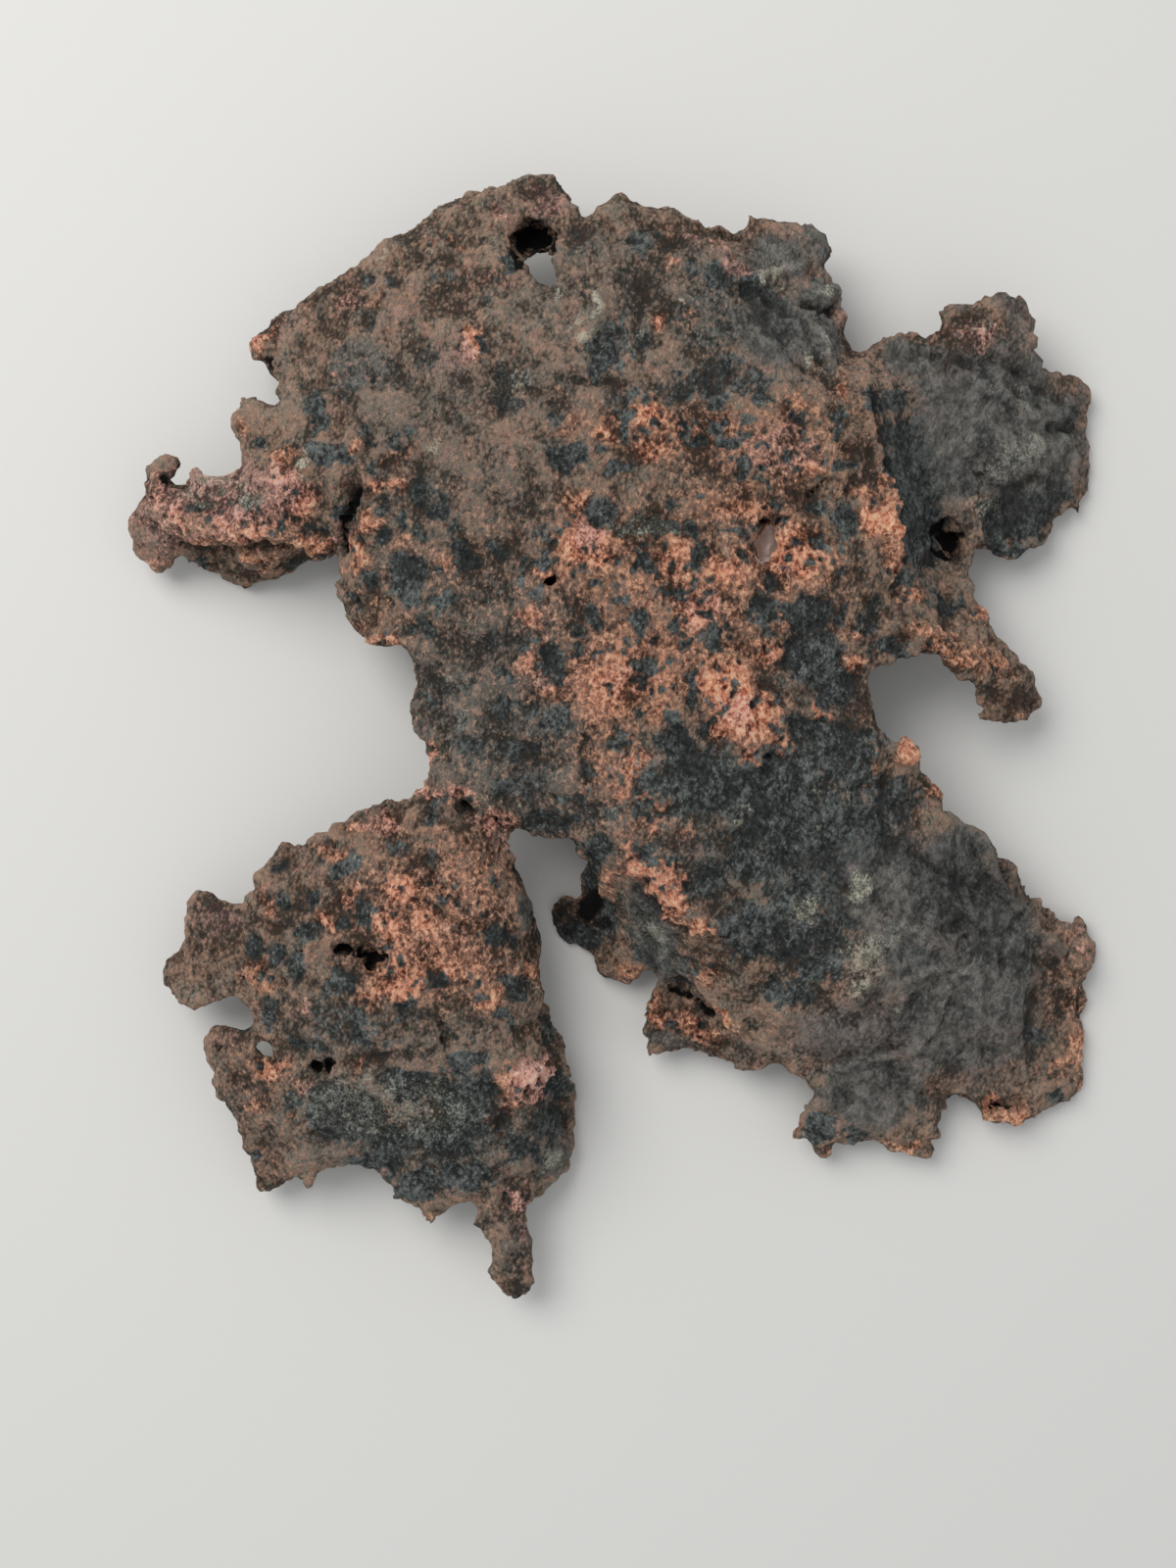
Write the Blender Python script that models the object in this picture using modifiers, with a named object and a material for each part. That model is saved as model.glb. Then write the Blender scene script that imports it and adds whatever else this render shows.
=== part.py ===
"""Native copper nugget: one thin, lobed sheet of float copper, about 16 by 19 cm.

The sheet is arched. It stands on the rims of its lobes and on a low flap under its middle. A plate
with its lobes, and two flaps that grow below it, are cut flat from outlines, draped over a field of
heights and fused into one closed body.

Outlines and features are placed on a plan: PLAN_PER_MM steps make a millimetre, x runs right and y
runs down the sheet. The plan is what an eye EYE_HEIGHT above the ground sees, true to size at
PLAN_LEVEL, so a lower point stands a little further out than the plan says. Heights are in
millimetres above the ground.
"""

import math

import bmesh
import bpy
import numpy as np
from mathutils import Vector, noise

MM = 0.001
PLAN_PER_MM = 6.0
PLAN_MIDDLE = (600.0, 800.0)
EYE_HEIGHT = 360 * MM
PLAN_LEVEL = 25 * MM

FLAT_HALF = 1.4 * MM  # half the thickness of a plate before it is draped
SHEET_HALF = 1.35 * MM  # half the thickness of the sheet at its rims
SWELL_HALF = 0.75 * MM  # how much thicker each half may grow between them
SWELL_WAVELENGTH = 16.0
MOST_STRETCH = 2.2  # a steep flank is thickened upright by no more than this
FLAT_VOXEL = 0.75 * MM
BODY_VOXEL = 0.7 * MM
RISE_EDGE = 1.3  # how sharply a dome ends
PIT_EDGE = 2.6
PIT_FLOOR = 1.2 * MM  # a pit deeper than this pushes the underside down with it
HEIGHT_SOFTNESS = 14.0  # plan steps over which the height field rounds off at a point
MOST_TRIANGLES = 9600
GROUND_SNAP = 0.06 * MM

# ---------------------------------------------------------------- outlines, in plan steps
# The rim, anticlockwise on the plan from the horn at the top.
WING_RIM = [
    (568, 181), (559, 178), (553, 182), (541, 178), (531, 184), (518, 189), (503, 194), (489, 197),
    (474, 200), (461, 206), (448, 213), (440, 221), (424, 231), (402, 240), (380, 258), (360, 272),
    (341, 283), (319, 298), (306, 309), (280, 323), (268, 336), (259, 346), (254, 359),
]
WING_BEAK = [
    (258, 368), (264, 367), (269, 372), (269, 380), (280, 386), (284, 393), (289, 391), (295, 385),
    (293, 391), (285, 397), (279, 401), (285, 408), (285, 415), (277, 419), (271, 413), (268, 407),
    (258, 408), (248, 415), (238, 421), (237, 428), (240, 440), (246, 453), (248, 463), (245, 477),
    (238, 484), (225, 489), (207, 487), (204, 481), (198, 480), (192, 487), (189, 496),
]
ARM_HOOK = [
    (182, 499), (175, 495), (174, 489), (182, 484), (185, 477), (184, 468), (179, 463), (173, 468),
    (165, 474), (156, 479), (153, 490), (147, 501), (141, 516), (137, 532), (135, 548), (139, 562),
    (149, 573), (162, 581), (173, 577), (179, 569), (182, 564),
]
ARM_UNDER = [
    (192, 567), (200, 574), (208, 582), (219, 581), (231, 586), (239, 596), (248, 601), (253, 603),
    (261, 594), (280, 590), (299, 585), (306, 577), (312, 573), (320, 574), (331, 569), (341, 563),
]
WAIST = [
    (346, 567), (348, 577), (351, 586), (348, 591), (347, 602), (349, 612), (357, 631), (361, 645),
    (370, 650), (380, 656), (392, 662), (409, 659), (417, 665), (421, 676), (424, 690), (424, 698),
    (420, 710), (418, 722), (422, 740), (429, 751), (435, 756), (437, 764), (440, 778), (440, 789),
    (435, 799), (428, 805), (424, 814),
]
LOBE_TOP = [
    (417, 818), (404, 819), (392, 817), (380, 823), (372, 828), (354, 838), (340, 847), (329, 854),
    (318, 861), (304, 864), (293, 861), (286, 858), (281, 866), (274, 877), (268, 888), (260, 894),
    (261, 904), (254, 918), (248, 925),
]
LOBE_TABS = [
    (235, 923), (225, 916), (214, 910), (200, 912), (193, 922), (191, 938), (189, 956), (184, 968),
    (171, 979), (163, 990), (166, 1003), (177, 1016), (191, 1027), (207, 1025), (223, 1021),
    (236, 1015), (245, 1012), (247, 1024), (256, 1033), (257, 1047), (247, 1051), (238, 1050),
    (227, 1045), (218, 1047), (209, 1058), (208, 1074), (219, 1089), (222, 1113), (229, 1130),
    (241, 1142), (245, 1160), (252, 1178), (258, 1198),
]
LOBE_FOOT = [
    (263, 1211), (270, 1218), (279, 1214), (288, 1212), (294, 1203), (301, 1198), (309, 1198),
    (311, 1209), (316, 1200), (330, 1192), (340, 1186), (356, 1185), (372, 1191), (387, 1198),
    (399, 1205), (405, 1216), (417, 1227), (431, 1228), (436, 1241), (441, 1244), (448, 1237),
    (466, 1230), (485, 1222),
]
TAIL = [
    (489, 1234), (491, 1243), (482, 1246), (483, 1252), (493, 1257), (498, 1266), (503, 1274),
    (500, 1289), (497, 1303), (505, 1311), (514, 1318), (527, 1326), (536, 1323), (541, 1314),
    (545, 1297), (541, 1270), (536, 1250), (538, 1237), (543, 1223),
]
LOBE_FLANK = [
    (555, 1218), (559, 1207), (568, 1198), (579, 1187), (580, 1175), (585, 1164), (586, 1139),
    (586, 1114), (581, 1101), (581, 1087), (575, 1077), (573, 1063), (564, 1045), (555, 1027),
    (550, 1010), (549, 988), (553, 963), (550, 948), (543, 930), (534, 909), (527, 888), (525, 875),
    (518, 867), (512, 857),
]
ARCH_EDGE = [
    (516, 853), (522, 848), (534, 847), (545, 851), (561, 854), (579, 856), (586, 863), (595, 875),
    (605, 885), (612, 889),
]
LEG_FACE = [
    (612, 902), (616, 917), (622, 928), (632, 942), (638, 960), (645, 975), (660, 984), (670, 994),
    (676, 1001), (684, 1001), (692, 997), (700, 1003), (709, 1014), (720, 1028), (738, 1042),
]
LEG_TABS = [
    (750, 1085), (756, 1093), (766, 1093), (782, 1088), (794, 1085), (801, 1088), (807, 1094),
    (817, 1094), (824, 1102), (830, 1118), (829, 1130), (820, 1141), (814, 1155), (825, 1166),
    (834, 1172), (840, 1178), (848, 1172), (853, 1163), (870, 1166), (882, 1164), (890, 1159),
    (901, 1166), (913, 1175), (925, 1176), (940, 1179), (947, 1176), (946, 1168), (953, 1158),
    (959, 1153), (958, 1142), (961, 1132), (968, 1121), (967, 1115),
]
LEG_END = [
    (982, 1119), (991, 1127), (1001, 1133), (1010, 1143), (1019, 1149), (1036, 1145), (1051, 1139),
    (1057, 1134), (1054, 1126), (1047, 1123), (1048, 1119), (1056, 1121), (1062, 1127), (1074, 1130),
    (1081, 1128), (1096, 1115), (1105, 1105), (1107, 1090), (1099, 1086), (1099, 1069), (1102, 1051),
    (1105, 1024), (1105, 1000), (1110, 995), (1112, 976), (1112, 958), (1108, 943), (1104, 934),
    (1098, 930), (1099, 937), (1095, 944),
]
LEG_RIGHT = [
    (1081, 941), (1072, 935), (1060, 925), (1048, 914), (1040, 901), (1036, 887), (1026, 881),
    (1019, 875), (1012, 877), (1004, 862), (995, 850), (982, 847), (970, 839), (959, 833),
    (956, 824), (958, 818), (964, 812), (958, 806), (949, 803), (940, 801), (950, 794), (940, 789),
    (936, 782), (940, 777), (939, 765), (931, 758), (923, 756), (914, 761), (906, 759), (903, 750),
    (896, 738), (893, 724), (888, 716),
]
FINGER = [
    (886, 702), (885, 688), (890, 682), (902, 680), (918, 673), (932, 667), (951, 668), (963, 676),
    (972, 686), (985, 694), (1000, 701), (997, 709), (1001, 717), (1005, 728), (1015, 736),
    (1031, 740), (1046, 736), (1054, 729), (1056, 720), (1062, 714), (1058, 702), (1055, 691),
    (1045, 677), (1037, 677), (1029, 665), (1019, 654), (1009, 643), (1001, 638), (1008, 634),
    (1005, 623), (997, 622), (990, 612), (988, 600), (991, 594), (985, 585), (984, 579), (992, 576),
    (994, 566), (989, 555), (982, 548),
]
RIGHT_LOBE = [
    (985, 546), (997, 557), (1009, 563), (1023, 572), (1037, 566), (1055, 560), (1065, 557),
    (1074, 542), (1074, 532), (1089, 520), (1103, 509), (1111, 500), (1108, 492), (1111, 480),
    (1110, 452), (1109, 428), (1109, 400), (1103, 389), (1089, 382), (1079, 377), (1068, 381),
    (1057, 379), (1054, 366), (1050, 354), (1060, 348), (1053, 340), (1053, 326), (1048, 318),
    (1048, 308), (1037, 303), (1022, 300), (1012, 307), (991, 311), (969, 312), (960, 317),
    (958, 327), (961, 340), (958, 346),
]
TOP_RIGHT_LOBE = [
    (945, 343), (923, 340), (908, 346), (892, 352), (880, 359), (869, 357), (865, 348), (860, 323),
    (852, 301), (842, 285), (844, 270), (848, 257), (845, 240), (833, 237), (821, 230), (797, 226),
    (777, 224), (768, 221), (764, 229), (760, 237), (742, 243),
]
CREST = [
    (741, 234), (735, 231), (725, 234), (717, 230), (703, 224), (690, 215), (677, 211), (667, 212),
    (654, 208), (644, 207), (641, 199), (628, 197), (624, 202), (615, 210), (605, 217), (597, 227),
    (592, 223), (587, 215), (581, 206), (579, 194), (572, 189),
]
SHEET = (
    WING_RIM + WING_BEAK + ARM_HOOK + ARM_UNDER + WAIST + LOBE_TOP + LOBE_TABS + LOBE_FOOT + TAIL
    + LOBE_FLANK + ARCH_EDGE + LEG_FACE + LEG_TABS + LEG_END + LEG_RIGHT + FINGER + RIGHT_LOBE
    + TOP_RIGHT_LOBE + CREST
)
HORN_HOLE = [
    (535, 272), (541, 263), (551, 258), (561, 258), (568, 267), (568, 284), (564, 303), (555, 293),
    (547, 285), (539, 281),
]
LOBE_HOLE = [(265, 1062), (272, 1060), (279, 1070), (281, 1081), (273, 1079), (267, 1071)]
LOW_FLAP = [
    (628, 872), (606, 876), (592, 887), (590, 899), (594, 912), (597, 919), (590, 922), (583, 918),
    (575, 914), (563, 921), (560, 930), (564, 947), (572, 956), (581, 960), (583, 967), (587, 961),
    (593, 968), (605, 974), (609, 982), (606, 994), (614, 1001), (632, 1003), (644, 1000),
    (653, 998), (659, 985), (668, 975), (680, 960), (668, 930), (650, 900),
]
SIDE_FLAP = [
    (686, 1002), (678, 1004), (669, 1006), (666, 1016), (660, 1026), (657, 1051), (662, 1069),
    (678, 1075), (692, 1071), (706, 1073), (720, 1074), (731, 1082), (750, 1085), (756, 1093),
    (766, 1092), (790, 1078), (800, 1060), (775, 1030), (742, 1030), (728, 1036), (712, 1024),
    (700, 1013), (694, 1006),
]

# ---------------------------------------------------------------- heights: (x, y, mm above ground)
SHEET_HEIGHTS = [
    # the domed plate
    (600, 500, 27.0), (700, 480, 28.0), (800, 450, 27.2), (850, 520, 27.6), (895, 520, 26.2),
    (760, 600, 28.6), (650, 620, 28.4), (560, 600, 27.0), (480, 560, 25.0), (420, 520, 23.6),
    (700, 720, 28.4), (800, 700, 28.0), (870, 650, 25.6), (560, 740, 26.0), (460, 700, 23.5),
    (430, 660, 22.5), (620, 830, 25.4), (540, 835, 22.8), (720, 840, 26.6), (800, 800, 26.6),
    (600, 870, 22.5), (370, 600, 20.0), (355, 520, 21.0),
    # the wing and the horn above it
    (600, 300, 24.6), (700, 320, 24.4), (660, 215, 20.0), (600, 240, 21.0), (500, 300, 22.8),
    (500, 220, 19.0), (545, 195, 17.5), (580, 205, 18.5), (440, 300, 20.4), (400, 260, 16.8),
    (350, 300, 15.8), (290, 340, 13.5), (265, 390, 13.5), (340, 390, 18.6), (300, 430, 17.4),
    (400, 400, 22.0), (250, 450, 15.0), (500, 420, 25.0), (230, 480, 15.5),
    # the left arm: a ridge, with its lower flank folded down to the ground
    (300, 535, 19.5), (240, 537, 18.2), (190, 532, 15.8), (150, 530, 12.0), (165, 475, 12.5),
    (205, 500, 16.5), (300, 583, 8.0), (250, 598, 3.4), (215, 580, 4.8), (250, 572, 11.6),
    (205, 557, 11.8), (290, 560, 14.6), (160, 575, 6.5), (335, 558, 15.4), (180, 558, 11.0),
    # the slope at the upper right and the lobe below it
    (750, 290, 22.2), (730, 245, 19.6), (780, 250, 16.0), (830, 250, 14.0), (800, 232, 14.8),
    (775, 285, 18.5), (815, 300, 17.0), (845, 300, 14.5), (835, 345, 19.0), (858, 340, 15.5),
    (800, 350, 23.0), (870, 375, 20.5),
    # the ledge down to the right lobe
    (880, 400, 24.6), (900, 450, 25.2), (920, 540, 25.2), (925, 600, 21.5), (925, 445, 18.0),
    (945, 500, 16.0), (948, 545, 15.2), (900, 365, 17.8), (915, 400, 18.8), (948, 590, 14.6),
    # the right lobe, which comes down to the ground at its outer rim
    (940, 355, 16.2), (1000, 330, 15.2), (1040, 310, 13.4), (980, 420, 14.6), (1050, 400, 11.0),
    (1100, 400, 5.2), (1104, 450, 3.4), (1106, 490, 3.2), (1050, 480, 10.4), (1005, 480, 13.2),
    (1025, 555, 8.4), (1070, 530, 6.2), (985, 535, 12.0),
    # the fringe and the finger
    (975, 600, 12.6), (985, 560, 12.2), (910, 640, 22.4), (950, 645, 19.8), (990, 670, 16.8),
    (1030, 705, 13.0), (1040, 732, 10.5), (1005, 628, 13.2),
    # the leg
    (850, 760, 25.6), (885, 700, 23.4), (900, 790, 22.2), (955, 815, 17.0), (860, 860, 24.0),
    (940, 870, 19.6), (1000, 880, 14.6), (1060, 940, 8.8), (1104, 955, 4.6), (1098, 1050, 3.4),
    (1045, 1000, 10.4), (1000, 980, 13.8), (940, 960, 18.6), (860, 960, 21.6), (780, 940, 23.6),
    (820, 1050, 15.6), (900, 1060, 13.4), (960, 1060, 11.6), (1020, 1085, 7.4), (1080, 1115, 3.6),
    (1030, 1135, 4.8), (870, 1120, 9.0), (835, 1160, 7.0), (930, 1165, 6.0), (785, 1080, 10.6),
    (745, 1000, 18.6), (760, 1050, 13.0),
    # the steep face along the leg's left side: its edge, then its foot
    (625, 885, 22.0), (645, 893, 23.4), (672, 925, 22.4), (700, 950, 21.4), (618, 905, 16.5),
    (640, 950, 10.0), (658, 978, 8.6), (685, 998, 9.2), (712, 1012, 11.0), (715, 985, 17.4),
    (738, 1038, 11.4),
    # the neck and the lower left lobe
    (470, 820, 22.6), (440, 855, 22.2), (395, 840, 19.6), (330, 890, 18.6), (275, 900, 16.6),
    (215, 930, 13.0), (180, 990, 11.0), (240, 980, 16.5), (310, 980, 20.6), (400, 960, 23.0),
    (470, 920, 23.2), (490, 1000, 23.4), (450, 1080, 22.2), (350, 1080, 20.6), (280, 1080, 17.0),
    (225, 1060, 13.0), (230, 1120, 12.0), (268, 1205, 7.5), (320, 1150, 15.6), (420, 1170, 17.4),
    (500, 1160, 18.8), (535, 1090, 20.6), (562, 1100, 17.6), (584, 1125, 4.2), (574, 1190, 5.0),
    (552, 1160, 14.6), (525, 950, 21.2), (547, 968, 16.4), (512, 895, 21.2), (525, 1030, 21.6),
    (560, 1050, 14.0), (540, 1010, 19.0), (531, 890, 17.4), (500, 1225, 13.6), (520, 1270, 11.6),
    (520, 1315, 9.6), (438, 1235, 11.0), (380, 1190, 12.6), (518, 862, 19.4),
]
LOW_FLAP_HEIGHTS = [
    (600, 890, 13.0), (596, 912, 9.0), (572, 930, 3.2), (590, 950, 3.6), (612, 930, 7.0),
    (620, 990, 4.0), (650, 985, 6.4), (632, 905, 15.0), (645, 940, 9.5), (670, 950, 10.0),
    (640, 880, 18.0),
]
SIDE_FLAP_HEIGHTS = [
    (670, 1020, 8.6), (662, 1055, 7.6), (700, 1040, 8.8), (700, 1068, 6.8), (730, 1060, 9.4),
    (750, 1085, 7.4), (780, 1060, 11.2), (760, 1030, 12.4), (694, 1008, 8.4),
]

# ---------------------------------------------------------------- features on the upper face
# Domes and pits: (x, y, half length, half width, turn in degrees, height in mm).
DOMES = [
    (785, 552, 23, 13, 76, -3.8),  # the open pit in the plate
    (545, 245, 24, 18, 15, -7.0),  # the dark pocket beside the horn's hole
    (559, 596, 9, 7, 0, -2.8),
    (557, 614, 5, 4, 0, -1.2),
    (380, 976, 14, 8, 20, -3.0),  # the broken slit in the lower left lobe
    (352, 972, 10, 6, 20, -2.4),
    (331, 1089, 13, 7, 0, -2.8),
    (457, 1058, 15, 9, 60, -1.2),
    (472, 824, 10, 6, 10, -2.6),
    (966, 548, 24, 12, 65, -5.0),  # the dark cavity between the right lobe and the fringe
    (1030, 1125, 16, 5, 0, -1.6),  # behind the curled rim
    (982, 870, 34, 12, 60, -0.9),
    (758, 728, 52, 34, 40, 1.5),  # the crumpled lump of copper
    (765, 762, 20, 12, 70, 1.1),
    (735, 690, 22, 14, 20, 0.7),
    (668, 892, 26, 14, 35, 1.0),
    (902, 520, 34, 16, 75, 0.8),
    (926, 770, 12, 10, 30, 3.0),
    (955, 808, 9, 4, 20, 1.4),
    (1082, 1112, 12, 9, 60, 2.0),
    (1082, 1111, 4, 3, 0, -1.6),
    (480, 350, 36, 26, 0, 0.8),
    (600, 330, 40, 12, 110, 0.6),
    (800, 430, 60, 22, 150, 0.8),
    (540, 1110, 42, 18, 75, 0.9),
    (440, 930, 60, 40, 20, 0.8),
    (700, 600, 90, 24, 25, 0.7),
    (560, 1175, 20, 12, 60, -1.0),
    (1055, 470, 34, 22, 0, 0.7),
    (880, 980, 44, 18, 65, 0.9),
    (640, 540, 60, 22, 10, -0.7),
    (760, 880, 60, 26, 30, -0.8),
    (380, 1130, 60, 26, 10, -0.7),
]
# Ridges and grooves along a line: (half width in plan steps, height in mm, points).
LINES = [
    (3.5, -2.8, [(358, 498), (363, 506), (357, 519), (352, 530), (355, 548), (352, 568)]),
    (3.0, -2.2, [(494, 836), (503, 843), (507, 854)]),
    (4.5, 1.6, [(648, 888), (662, 908), (684, 926), (700, 946), (722, 950)]),  # worm-like ridge
    (4.0, 1.4, [(668, 884), (690, 894), (698, 916), (720, 934), (742, 948)]),
    (4.0, 1.5, [(722, 1008), (740, 1028), (760, 1050)]),
    (5.0, 1.8, [(1003, 1124), (1016, 1139), (1038, 1138), (1052, 1132)]),  # the curled rim
    (5.0, 1.0, [(1004, 882), (1030, 915), (1062, 950), (1100, 985)]),
    (5.0, -0.8, [(986, 885), (1014, 925), (1046, 962), (1090, 995)]),
    (8.0, -1.3, [(962, 985), (940, 1030), (905, 1070), (870, 1082), (840, 1088)]),
    (7.0, 1.0, [(960, 1010), (925, 1050), (880, 1062)]),
    (6.0, 1.2, [(776, 290), (800, 280), (830, 272)]),
    (6.0, 1.1, [(818, 300), (850, 302)]),
    (7.0, 1.2, [(828, 322), (842, 345), (856, 372)]),
    (6.0, -1.0, [(790, 305), (820, 312), (838, 322)]),
    (7.0, 0.9, [(884, 400), (902, 440), (914, 480), (922, 540), (914, 590)]),  # the ledge's edge
    (6.0, 1.2, [(150, 520), (196, 537), (260, 543), (335, 543)]),  # the arm's ridge
    (5.0, -1.4, [(186, 545), (215, 553), (260, 556), (292, 553)]),
    (6.0, 1.2, [(246, 584), (272, 578), (306, 568), (336, 562)]),
    (4.0, -1.2, [(176, 540), (183, 552), (180, 566)]),
    (5.0, -0.9, [(760, 960), (790, 990), (830, 1000)]),
    (6.0, 0.9, [(930, 640), (970, 655), (1020, 695)]),
    (4.0, -1.2, [(822, 508), (840, 490), (850, 470)]),
    (5.0, -0.8, [(980, 400), (1020, 430), (1060, 440), (1100, 430)]),
    (5.0, 0.9, [(1100, 960), (1096, 1010), (1092, 1060)]),
]
# Rough ground: (wavelength in mm, height in mm).
ROUGH_TOP = [(24.0, 0.7), (11.0, 0.65), (5.5, 0.42), (2.8, 0.22)]
ROUGH_UNDER = [(20.0, 0.9), (9.0, 0.6), (4.5, 0.3)]
UNDER_SHIFT = Vector((7.3, 2.1, 5.7))


def clear_scene():
    for obj in list(bpy.data.objects):
        bpy.data.objects.remove(obj, do_unlink=True)


def on_plan(x, y):
    """A plan point in metres from the plan's middle."""
    step = MM / PLAN_PER_MM
    return (x - PLAN_MIDDLE[0]) * step, (PLAN_MIDDLE[1] - y) * step


def flat_plate(name, outlines, collection):
    """A plate of even thickness, cut to the first outline with the others as holes."""
    curve = bpy.data.curves.new(name, "CURVE")
    curve.dimensions = "2D"
    curve.fill_mode = "BOTH"
    curve.extrude = FLAT_HALF
    for outline in outlines:
        spline = curve.splines.new("POLY")
        spline.points.add(len(outline) - 1)
        for point, (x, y) in zip(spline.points, outline):
            point.co = (*on_plan(x, y), 0.0, 1.0)
        spline.use_cyclic_u = True
    plate = bpy.data.objects.new(name, curve)
    collection.objects.link(plate)
    remesh(plate, FLAT_VOXEL)
    return plate


def remesh(obj, voxel):
    """Turns an object into one closed mesh of even, small faces."""
    modifier = obj.modifiers.new("even faces", "REMESH")
    modifier.mode = "VOXEL"
    modifier.voxel_size = voxel
    apply_shape(obj)


def apply_shape(obj):
    bpy.ops.object.select_all(action="DESELECT")
    obj.select_set(True)
    bpy.context.view_layer.objects.active = obj
    bpy.ops.object.convert(target="MESH")


def points_of(obj):
    points = np.empty(len(obj.data.vertices) * 3, np.float32)
    obj.data.vertices.foreach_get("co", points)
    return points.reshape(-1, 3).astype(np.float64)


def move_points(obj, points):
    obj.data.vertices.foreach_set("co", points.astype(np.float32).ravel())
    obj.data.update()


def height_field(heights):
    """A smooth surface through the given heights, as a function of plan positions, in metres."""
    places = np.array([(x, y) for x, y, _ in heights], float)
    values = np.array([z for _, _, z in heights]) * MM
    level = values.mean()

    def distance(x, y):
        across = np.subtract.outer(x, places[:, 0])
        along = np.subtract.outer(y, places[:, 1])
        return np.sqrt(across**2 + along**2 + HEIGHT_SOFTNESS**2)

    weights = np.linalg.solve(distance(places[:, 0], places[:, 1]), values - level)
    return lambda x, y: distance(x, y) @ weights + level


def dome(x, y, place):
    """A rounded rise, or a pit where its height is below nothing."""
    centre_x, centre_y, half_long, half_wide, turn, height = place
    turn = math.radians(turn)
    along = ((x - centre_x) * math.cos(turn) + (y - centre_y) * math.sin(turn)) / half_long
    across = ((y - centre_y) * math.cos(turn) - (x - centre_x) * math.sin(turn)) / half_wide
    edge = RISE_EDGE if height > 0 else PIT_EDGE
    return height * MM * np.exp(-((along**2 + across**2) ** edge))


def line_distance(x, y, points):
    nearest = np.full(len(x), np.inf)
    for (ax, ay), (bx, by) in zip(points, points[1:]):
        length = (bx - ax) ** 2 + (by - ay) ** 2
        share = np.clip(((x - ax) * (bx - ax) + (y - ay) * (by - ay)) / length, 0, 1)
        away = np.hypot(x - ax - share * (bx - ax), y - ay - share * (by - ay))
        nearest = np.minimum(nearest, away)
    return nearest


def features(x, y):
    rise = sum(dome(x, y, place) for place in DOMES)
    for half_width, height, points in LINES:
        rise += height * MM * np.exp(-((line_distance(x, y, points) / half_width) ** 2))
    return rise


def ripple(points, wavelength, shift):
    """Smooth noise between about -1 and 1, with lumps a wavelength (in mm) across."""
    scale = 1 / (wavelength * MM)
    return np.array([noise.noise(Vector(point) * scale + shift) for point in points])


def roughness(points, layers, shift):
    """Fine lumps and hollows from layers of noise, in metres."""
    return sum(height * MM * ripple(points, wavelength, shift) for wavelength, height in layers)


def drape(plate, heights, seed):
    """Lays a flat plate over its height field, thickens it and roughens both faces."""
    flat = points_of(plate)
    step = MM / PLAN_PER_MM
    x = flat[:, 0] / step + PLAN_MIDDLE[0]
    y = PLAN_MIDDLE[1] - flat[:, 1] / step
    surface = height_field(heights)
    top = surface(x, y)
    slope = np.hypot(surface(x + 2, y) - top, surface(x, y + 2) - top) / (2 * step)
    stretch = np.minimum(np.sqrt(1 + slope**2), MOST_STRETCH)
    shift = Vector((0, 0, seed))
    swell = 0.5 + 0.5 * ripple(flat * (1, 1, 0), SWELL_WAVELENGTH, shift)
    half = (SHEET_HALF + SWELL_HALF * swell) * stretch
    side = np.clip(flat[:, 2] / FLAT_HALF, -1, 1)
    flat[:, 2] = top - half + side * half
    upper = (side + 1) / 2
    shape = features(x, y)
    flat[:, 2] += upper * (shape + roughness(flat, ROUGH_TOP, shift))
    flat[:, 2] += (1 - upper) * np.minimum(shape + PIT_FLOOR, 0)
    flat[:, 2] += (1 - upper) * roughness(flat, ROUGH_UNDER, shift + UNDER_SHIFT)
    reach = (EYE_HEIGHT - flat[:, 2]) / (EYE_HEIGHT - PLAN_LEVEL)
    flat[:, :2] *= reach[:, None]
    move_points(plate, flat)


def keep_largest_body(obj):
    mesh = bmesh.new()
    mesh.from_mesh(obj.data)
    left = set(mesh.verts)
    bodies = []
    while left:
        reached = [left.pop()]
        body = []
        while reached:
            vertex = reached.pop()
            body.append(vertex)
            near = {edge.other_vert(vertex) for edge in vertex.link_edges} & left
            left -= near
            reached += near
        bodies.append(body)
    bodies.sort(key=len)
    for body in bodies[:-1]:
        bmesh.ops.delete(mesh, geom=body, context="VERTS")
    mesh.to_mesh(obj.data)
    mesh.free()


def stand_on_ground(obj):
    """Flattens what would reach below the ground, so that the nugget rests on flat spots."""
    points = points_of(obj)
    points[:, 2] = np.maximum(points[:, 2], 0)
    move_points(obj, points)


def thin_out(obj):
    """Keeps the faces that the shape needs, as triangles."""
    obj.data.calc_loop_triangles()
    modifier = obj.modifiers.new("fewer faces", "DECIMATE")
    modifier.ratio = MOST_TRIANGLES / len(obj.data.loop_triangles)
    modifier.use_collapse_triangulate = True
    apply_shape(obj)
    points = points_of(obj)
    points[points[:, 2] < GROUND_SNAP, 2] = 0
    move_points(obj, points)


def centre_on_ground(obj):
    """Puts the middle of the nugget's footprint at the world's origin."""
    points = points_of(obj)
    middle = (points.min(axis=0) + points.max(axis=0)) / 2
    points[:, :2] -= middle[:2]
    move_points(obj, points)
    print("plan middle now at (mm):", np.round(-middle[:2] / MM, 3))


def copper_material():
    material = bpy.data.materials.new("weathered native copper")
    material.use_nodes = True
    shader = material.node_tree.nodes["Principled BSDF"]
    shader.inputs["Base Color"].default_value = (0.16, 0.095, 0.07, 1)
    shader.inputs["Metallic"].default_value = 0.45
    shader.inputs["Roughness"].default_value = 0.6
    return material


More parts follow.
